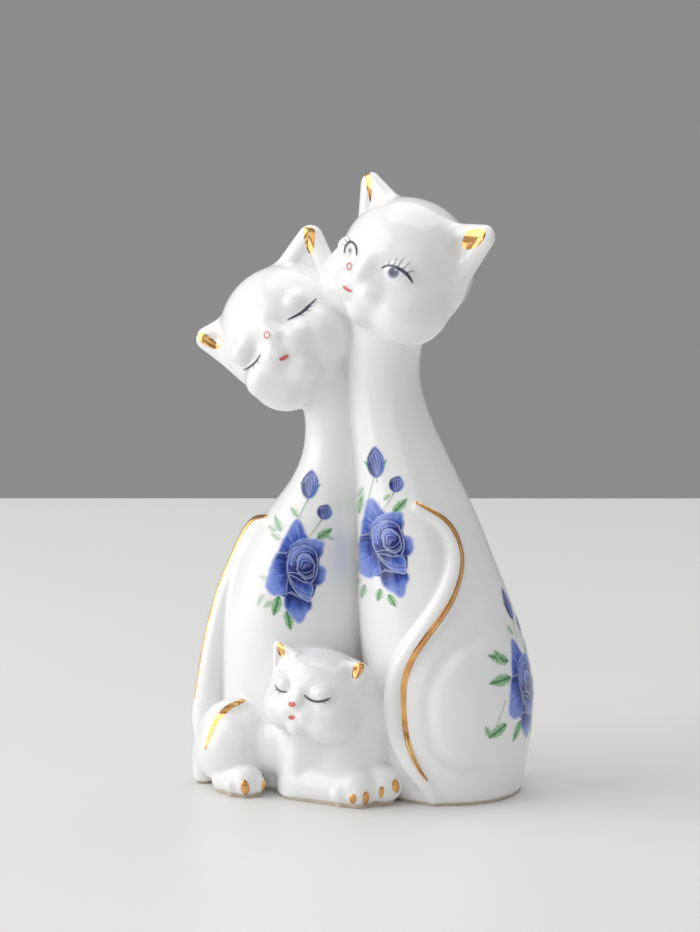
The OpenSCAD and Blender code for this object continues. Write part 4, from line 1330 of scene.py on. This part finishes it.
def round_patch(loft, z0, z1, a0, a1, ac, zc, rad, step, labels, flip=False):
    """a patch wrapped round a body: angle and height"""
    nz, na = int((z1 - z0) / step) + 2, int(math.radians(a1 - a0) * rad / step) + 2
    A, Z = np.meshgrid(np.radians(a0) + np.arange(na) * step / rad, z0 + np.arange(nz) * step, indexing='ij')
    q = loft.rows_at(Z.ravel()).reshape(Z.shape + (4,))
    dirv = np.stack([np.cos(A), np.sin(A), 0 * A], -1)
    O = np.stack([q[..., 0], q[..., 1], Z], -1) + dirv * 45
    pt = Patch(A, Z, O, -dirv, 12, 50, 6, labels, tol=1.4)
    cx = (A - math.radians(ac)) * rad * 32.2
    if flip:
        cx = -cx
    return pt, 360 + cx, 880 - (Z - zc) * 32.2


ST = 0.16 if QUICK else 0.11
pt, gx, gy = round_patch(right_loft, 9, 48, -56, 38, -2.0, 25.5, 18.5, ST, ["right_body"])
decal(pt, gx, gy, SIDE_ART, "right_side_rose_transfer", "right_side_leaf_transfer", "right_side_roses", "right_side_leaves")
pt, gx, gy = round_patch(left_loft, 9, 48, 128, 201, 166.0, 26.5, 17.0, ST, ["left_body"], True)
decal(pt, gx, gy, SIDE_ART, "left_side_rose_transfer", "left_side_leaf_transfer", "left_side_roses", "left_side_leaves")
print("decals", round(_t.time() - _t0, 1))

# ---- faces: enamel lines -----------------------------------------------------
# the third colour is the pale grey-blue of painted shade under the near eye's lid
INK, INK2, LID_SHADE = lin((44, 50, 66)), lin((90, 100, 122)), lin((196, 203, 222))
RED, CORAL = lin((206, 74, 62)), lin((222, 104, 84))
ES = 0.42 if QUICK else 0.27


def enamel(box, labels, draw):
    pt = sheet_patch(*box, ES, labels, sub=3)
    ink = Ink(pt.X, pt.Y)
    draw(ink)
    col = np.concatenate([ink.rgb, ink.a[..., None]], -1)
    return slab(pt, cover(ink.a) > 0.03, col, 0.06, 0.08)


def lid(ink, pts, ws, lashes, lw=0.9, op=0.95):
    d, t = sd_line(ink.X, ink.Y, chaikin(pts, 2, False), True)
    w = np.interp(t, np.linspace(0, 1, len(ws)), ws)
    ink.lay(op * sstep(w / 2 + 0.55, w / 2 - 0.35, d), INK)
    for l in lashes:
        ink.line(l, lw, INK, 0.85, 0.7, 0.25)


def r_near(ink):
    # painted shade: a pale grey-blue band under the upper lid, across the eye white
    d = np.hypot((ink.X - 393.8) / 1.25, ink.Y - 273.6)
    ink.lay(0.55 * sstep(8.5, 2.5, d) * sstep(-4, 3, ink.Y - 265.5 + 0.12 * (400 - ink.X)), LID_SHADE)
    d = np.hypot(ink.X - 393.4, ink.Y - 272.5)
    ink.lay(0.9 * sstep(6.6, 4.2, d), lin((100, 110, 144)))
    ink.lay(0.94 * sstep(4.7, 2.3, np.hypot(ink.X - 392.6, ink.Y - 271.6)), lin((38, 44, 66)))
    # a pale dot in the iris beside the pupil: a painted highlight
    ink.lay(0.8 * sstep(1.4, 0.4, np.hypot(ink.X - 395.4, ink.Y - 270.0)), lin((215, 220, 235)))
    lid(ink, [(381.8, 268.2), (385.5, 266.0), (389.5, 265.4), (395.6, 266.8), (402.5, 270.8), (408.5, 275.6), (412.6, 282.6)],
        [0.8, 2.0, 2.4, 2.9, 3.5, 3.0, 1.0],
        [[(388.5, 265.2), (389.5, 260.5)], [(393.5, 265.5), (396.8, 258.0)], [(397.6, 266.8), (403.8, 257.4)],
         [(402.2, 269.4), (410.8, 261.6)], [(406.5, 272.8), (414.8, 270.4)]], 1.4)


def r_far(ink):
    ink.lay(0.7 * sstep(1.9, 0.7, np.hypot((ink.X - 349.9) / 1.0, (ink.Y - 250.4) / 1.8)), lin((80, 90, 116)))
    lid(ink, [(344.4, 252.5), (345.2, 247.2), (347.6, 243.2), (351.6, 241.3), (355.4, 244.8), (357.0, 250.0), (356.9, 255.2)],
        [1.0, 1.8, 2.3, 2.6, 2.4, 1.9, 0.9], [[(345.6, 245.8), (341.8, 243.2)], [(347.8, 243.0), (344.6, 239.2)], [(350.6, 241.4), (348.6, 237.6)]], 1.1)


def l_right(ink):
    lid(ink, [(287.8, 319.8), (292.5, 317.6), (300.7, 313.4), (306.5, 308.6), (311.0, 304.0), (316.0, 299.0)],
        [0.7, 1.9, 2.8, 3.2, 2.3, 0.9],
        [[(300.2, 314.6), (304.8, 315.6)], [(304.8, 311.0), (311.2, 310.4)], [(308.2, 307.4), (314.8, 305.4)], [(311.6, 303.9), (317.2, 301.8)]], 1.1)


def l_left(ink):
    lid(ink, [(243.4, 370.0), (247.6, 368.4), (252.6, 365.2), (257.0, 360.8), (260.6, 354.4)], [0.6, 1.5, 2.0, 1.6, 0.6],
        [[(249.2, 368.0), (247.4, 371.4)], [(253.8, 364.8), (253.6, 368.8)], [(257.4, 360.4), (259.2, 363.6)]], 1.0)


def k_left(ink):
    lid(ink, [(275.2, 685.6), (277.6, 689.4), (281.6, 691.8), (286.8, 692.0)], [0.8, 1.6, 2.0, 0.9],
        [[(277.2, 689.6), (274.2, 690.8)], [(280.2, 691.4), (278.0, 694.2)]], 1.0)


def k_right(ink):
    lid(ink, [(304.2, 695.2), (309.6, 699.8), (316.5, 701.8), (323.4, 700.9), (330.4, 698.2)], [0.8, 1.9, 2.5, 2.2, 0.9],
        [[(321.4, 701.6), (326.6, 703.4)], [(325.4, 700.4), (330.4, 701.6)]], 1.0)


RHD, LHD, KHD = ["right_head"], ["left_head"], ["kitten_head"]
finish("right_cat_lash_lines", [enamel((378, 254, 418, 287), RHD, r_near), enamel((339, 234, 362, 258), RHD, r_far)], M_INK, "ink", "right_cat_eye_lines", "right_cat_irises")
finish("left_cat_lash_lines", [enamel((284, 294, 321, 322), LHD, l_right), enamel((240, 350, 264, 374), LHD, l_left)], M_INK, "ink", "left_cat_eyelids")
finish("kitten_lash_lines", [enamel((271, 682, 290, 697), KHD, k_left), enamel((301, 691, 334, 707), KHD, k_right)], M_INK, "ink", "kitten_eyelids")


def nose_ring(cx, cy, rx, ry):
    def draw(ink):
        q = np.hypot((ink.X - cx) / rx, (ink.Y - cy) / ry)
        ink.lay(0.85 * sstep(0.34, 0.06, np.abs(q - 0.78)), RED)
        ink.lay(0.25 * sstep(0.8, 0.5, q), lin((226, 170, 162)))
    return draw


def mouth(pts, w):
    def draw(ink):
        d, t = sd_line(ink.X, ink.Y, chaikin(pts, 2, False), True)
        ww = w * (0.45 + 0.55 * np.sin(np.pi * np.clip(0.15 + 0.7 * t, 0, 1)))
        ink.lay(0.95 * sstep(ww / 2 + 0.6, ww / 2 - 0.5, d), CORAL)
    return draw


def dot(cx, cy, rx, ry):
    def draw(ink):
        q = np.hypot((ink.X - cx) / rx, (ink.Y - cy) / ry)
        ink.lay(0.95 * sstep(1.12, 0.8, q), CORAL)
    return draw


finish("right_cat_nose_and_mouth", [enamel((344, 260, 355, 273), RHD, nose_ring(349.4, 266.6, 2.9, 4.0)),
                                    enamel((340, 283, 356, 296), RHD, mouth([(344.0, 286.8), (347.2, 289.4), (351.2, 291.2)], 2.9))], M_CORAL, "coral", "right_cat_nose_mouth")
finish("left_cat_nose_and_mouth", [enamel((261, 328, 273, 342), LHD, nose_ring(267.1, 335.0, 3.4, 4.0)),
                                   enamel((276, 351, 292, 364), LHD, mouth([(280.6, 359.3), (283.9, 358.2), (287.2, 355.9)], 4.0))], M_CORAL, "coral", "left_cat_nose_mouth")
finish("kitten_nose_and_mouth", [enamel((286, 699, 298, 709), KHD, dot(291.9, 704.3, 3.9, 2.7)),
                                 enamel((286, 712, 298, 723), KHD, dot(291.9, 717.5, 3.5, 2.4))], M_CORAL, "coral", "kitten_nose_mouth")
print("faces", round(_t.time() - _t0, 1))

# ---- gold --------------------------------------------------------------------
GS = 0.5 if QUICK else 0.33


def gold_patch(poly, labels, dome=0.05, r=1.2, rounds=2):
    """gilt area with a clean edge: the grid's outermost points slide on to the outline"""
    poly = chaikin(poly, rounds)
    lo, hi = poly.min(0) - 1.5, poly.max(0) + 1.5

    def snap(X, Y, step):
        sd = sd_poly(X, Y, poly)
        e = 0.05
        gx = (sd_poly(X + e, Y, poly) - sd_poly(X - e, Y, poly)) / (2 * e)
        gy = (sd_poly(X, Y + e, poly) - sd_poly(X, Y - e, poly)) / (2 * e)
        m = (np.abs(sd) < step * 0.55)
        return X - np.where(m, gx * sd, 0), Y - np.where(m, gy * sd, 0)
    pt = sheet_patch(lo[0], lo[1], hi[0], hi[1], GS, labels, snap, sub=3)
    sd = sd_poly(pt.X, pt.Y, poly)
    v = sd < 0.03 * GS
    cells = v[1:, 1:] & v[:-1, 1:] & v[1:, :-1] & v[:-1, :-1]
    lift = dome * (1 - np.exp(np.minimum(sd, 0) / r))
    return slab(pt, cells, None, 0.03, 0.08, lift)


finish("right_cat_ear_gilding", [
    gold_patch([(364.6, 176), (366.2, 171.8), (369.6, 172.0), (371.4, 178), (372.2, 188), (371.4, 200), (370.0, 203), (368.6, 196), (366.4, 186)], RHD),
    gold_patch([(463, 238), (468.5, 229.8), (476, 228.2), (484.8, 229.4), (486.2, 235), (480.6, 244.4), (472, 249.2), (463.4, 250.2), (461.6, 245)], RHD)],
    M_GOLD, "gold", "right_cat_ear_gold")
finish("left_cat_ear_gilding", [
    gold_patch([(302.4, 228.6), (306, 226.6), (314.6, 227.8), (315.2, 236), (313.8, 250), (311, 254.2), (307.6, 252.4), (305, 242)], LHD),
    gold_patch([(196.0, 334.4), (200, 331.8), (207, 334.2), (214.6, 340.6), (219.8, 346.4), (218, 349.6), (209, 347.6), (198.4, 341.4)], LHD)],
    M_GOLD, "gold", "left_cat_ear_gold")
finish("kitten_ear_gilding", [
    gold_patch([(277.0, 644.6), (280, 641.8), (283.6, 644), (285.2, 651), (284, 656.4), (280.6, 657.4), (277.4, 652)], KHD),
    gold_patch([(355.0, 663.6), (361.6, 661.8), (365.2, 664.4), (362.6, 672.4), (357.4, 678.8), (352.2, 679.0), (352.0, 670.4)], KHD)],
    M_GOLD, "gold", "kitten_ear_gold")


def claw(cx, cy, w, h, tilt):
    a = math.radians(tilt)
    p = [(cx + w / 2 * math.cos(u) * math.cos(a) - h / 2 * math.sin(u) * math.sin(a),
          cy + w / 2 * math.cos(u) * math.sin(a) + h / 2 * math.sin(u) * math.cos(a)) for u in np.linspace(0, 2 * math.pi, 13)[:-1]]
    return gold_patch(p, ["front_paws", "hind_paw", "kitten_body"], dome=0.32, r=4.0, rounds=1)


finish("kitten_claw_gilding", [claw(245, 787.0, 9.0, 15.5, -8), claw(265.0, 784.5, 6.6, 15.5, 8),
                               claw(352.9, 798.9, 7.4, 10.5, 0), claw(365.7, 798.0, 7.0, 14.5, 4), claw(381.5, 792.0, 5.6, 12.4, 4), claw(395.6, 786.0, 7.6, 14.6, -6)],
       M_GOLD, "gold", "kitten_claw_gold")


def ribbon(C, width, h=0.13, m=9, even=9):
    """a raised gilt line: C are dense points on the glaze, width along it in mm"""
    n = len(C)
    for _ in range(3):
        f = glaze_field(C); g = grad_of(glaze_field, C)
        C = C - np.clip(f, -0.6, 0.6)[:, None] * g / ((g * g).sum(1)[:, None] + 1e-6)
    k = np.hanning(even); k /= k.sum()
    pad = np.pad(C, ((even // 2, even // 2), (0, 0)), mode='reflect', reflect_type='odd')
    C = np.stack([np.convolve(pad[:, i], k, mode='valid') for i in range(3)], 1)
    T = np.gradient(C, axis=0); T /= np.linalg.norm(T, axis=1, keepdims=True)
    g = grad_of(glaze_field, C); Nn = g / np.linalg.norm(g, axis=1, keepdims=True)
    B = np.cross(T, Nn); B /= np.linalg.norm(B, axis=1, keepdims=True)
    s = np.linspace(-1, 1, m)
    w = np.interp(np.linspace(0, 1, n), np.linspace(0, 1, len(width)), width)
    P = C[:, None, :] + B[:, None, :] * (w[:, None, None] / 2) * s[None, :, None]
    P = P.reshape(-1, 3)
    for _ in range(3):
        f = glaze_field(P); g = grad_of(glaze_field, P)
        P = P - np.clip(f, -0.3, 0.3)[:, None] * g / ((g * g).sum(1)[:, None] + 1e-6)
    g = grad_of(glaze_field, P); NP = g / np.linalg.norm(g, axis=1, keepdims=True)
    lift = np.tile(h * np.sqrt(np.clip(1 - s * s, 0, 1)), n) * np.repeat(np.clip(w / max(width), 0.25, 1), m)
    top = P + NP * (0.02 + lift)[:, None]
    bot = P - NP * 0.09
    i, j = np.meshgrid(np.arange(n - 1), np.arange(m - 1), indexing='ij')
    i, j = i.ravel(), j.ravel()
    q = np.stack([i * m + j, (i + 1) * m + j, (i + 1) * m + j + 1, i * m + j + 1], 1)
    a = np.cross(P[q[:, 1]] - P[q[:, 0]], P[q[:, 3]] - P[q[:, 0]])
    if (a * NP[q[:, 0]]).sum() < 0:
        q = q[:, ::-1]
    N0 = n * m
    e = np.concatenate([q[:, [0, 1]], q[:, [1, 2]], q[:, [2, 3]], q[:, [3, 0]]])
    key, rev = e[:, 0] * N0 + e[:, 1], e[:, 1] * N0 + e[:, 0]
    be = e[~np.isin(key, rev)]
    F = np.concatenate([q, q[:, ::-1] + N0, np.stack([be[:, 1], be[:, 0], be[:, 0] + N0, be[:, 1] + N0], 1)])
    nt_ = NP + B.repeat(m, 0) * (np.tile(s, n) * 0.75)[:, None] * (1 if True else 0)
    nt_ /= np.linalg.norm(nt_, axis=1, keepdims=True)
    return np.concatenate([top, bot]), F, np.concatenate([nt_, -NP]), None


def sheet_line(pts, n=14):
    p = catmull(np.asarray(pts, float), n)
    D = sheet_ray(p[:, 0], p[:, 1])
    O = np.broadcast_to(EYE, D.shape)
    t, hit = march(O, D, DIST - 75, DIST + 70, glaze_field)
    return (O + D * t[:, None])[hit]


R_LINE = [(415.5, 502.2), (427, 508), (440, 515.5), (449, 523), (456, 533), (461, 546), (463, 560), (461, 577), (455, 595), (448, 608), (440, 620),
          (425, 640), (412, 660), (405, 680), (403.5, 700), (405.5, 730), (411, 752), (419, 769), (427.5, 781)]
K_LINE = [(246.0, 700.0), (238.5, 702.6), (229.7, 706.8), (221.6, 714), (215, 723), (210.6, 733), (207.6, 742), (205.2, 750)]
L_PTS = [[-37, -4.8, 18], [-35.8, -3.8, 28.6], [-34.2, -2.9, 36], [-32.2, -1.9, 43], [-29.9, -1.1, 49],
         [-27.5, -0.5, 54.5], [-24.4, -1, 58.6], [-19.4, -5.2, 60.3]]
finish("right_cat_tail_gilding", [ribbon(sheet_line(R_LINE), [0.7, 1.3, 1.6, 1.75, 1.75, 1.7, 1.6, 1.5, 1.4, 1.2, 0.5])], M_GOLD, "gold", "right_cat_tail_gold")
finish("left_cat_tail_gilding", [ribbon(catmull(L_PTS, 30), [0.7, 1.5, 1.8, 1.9, 1.9, 1.8, 1.6, 0.9])], M_GOLD, "gold", "left_cat_tail_gold")
kl = catmull(np.asarray(K_LINE), 5)
kt_ = np.gradient(kl, axis=0); kt_ /= np.linalg.norm(kt_, axis=1, keepdims=True)
kn_ = np.stack([-kt_[:, 1], kt_[:, 0]], 1) * (np.interp(np.linspace(0, 1, len(kl)), [0, 0.12, 0.35, 0.7, 1], [1.0, 2.5, 2.9, 2.4, 0.8]))[:, None]
finish("kitten_tail_gilding", [gold_patch(np.concatenate([kl + kn_, (kl - kn_)[::-1]]), ["kitten_tail", "kitten_body", "left_tail"], 0.12, 2.0, 1)], M_GOLD, "gold", "kitten_tail_gold")
print("gold", round(_t.time() - _t0, 1))

# ---------------------------------------------------- table and lights ------
def area(name, loc, look, size, power, size_y=None, col=(1, 1, 1)):
    d = bpy.data.lights.new(name, 'AREA')
    d.energy = power
    d.color = col
    d.shape = 'RECTANGLE'
    d.size, d.size_y = size, size_y or size
    o = bpy.data.objects.new(name, d)
    bpy.context.scene.collection.objects.link(o)
    o.location = loc
    o.rotation_euler = (Vector(look) - Vector(loc)).to_track_quat('-Z', 'Y').to_euler()
    return o


def uv_to_xy(u, v):
    """u to the right of the view, v away from it, in metres"""
    return (u * c_ - v * s_, u * s_ + v * c_)


def place(u, v, z):
    x, y = uv_to_xy(u, v)
    return (x, y, z)


area("window_left", place(-0.80, -0.10, 0.45), (0, 0, 0.07), 0.95, 7.4, 1.1, (1.0, 0.995, 0.985))
area("soft_top", place(0.10, 0.22, 0.95), (0, 0, 0.05), 0.9, 4.6, 0.9)
area("fill_right", place(0.85, -0.45, 0.30), (0, 0, 0.07), 0.8, 0.7, 0.8, (0.98, 0.985, 1.0))
area("front_card", place(-0.15, -0.95, 0.55), (0, 0, 0.06), 0.8, 1.5, 0.8)

bpy.context.scene.view_settings.view_transform = 'Standard'
w = bpy.data.worlds.new("studio")
bpy.context.scene.world = w
w.use_nodes = True
w.node_tree.nodes["Background"].inputs[0].default_value = (0.262, 0.263, 0.267, 1)
w.node_tree.nodes["Background"].inputs[1].default_value = 1.0

fm, fnt, fb = new_mat("pale_table")
fn1 = noise(fnt, 3.0, 2.0)
fr = ramp(fnt, fn1.outputs["Fac"], [(0.3, (0.80, 0.80, 0.79)), (0.7, (0.84, 0.84, 0.83))])
fnt.links.new(fr.outputs["Color"], fb.inputs["Base Color"])
fb.inputs["Roughness"].default_value = 0.42
me = bpy.data.meshes.new("table_top")
edge = [uv_to_xy(u, v) for u, v in ((-1.1, -0.9), (1.1, -0.9), (1.1, 0.383), (-1.1, 0.383))]
me.from_pydata([(x, y, 0) for x, y in edge] + [(x, y, -0.02) for x, y in edge],
               [], [[0, 1, 2, 3], [7, 6, 5, 4]] + [[i, i + 4, (i + 1) % 4 + 4, (i + 1) % 4] for i in range(4)])
fo = bpy.data.objects.new("table_top", me)
bpy.context.scene.collection.objects.link(fo)
me.materials.append(fm)
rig.stage(fo)

vis_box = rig.bounds()


def plain(b):
    return [[float(v) for v in row] for row in b]


try:
    with open("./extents.json", "w") as fh:
        json.dump({"cad": plain(cad_box), "visual": plain(vis_box)}, fh)
except OSError:
    pass
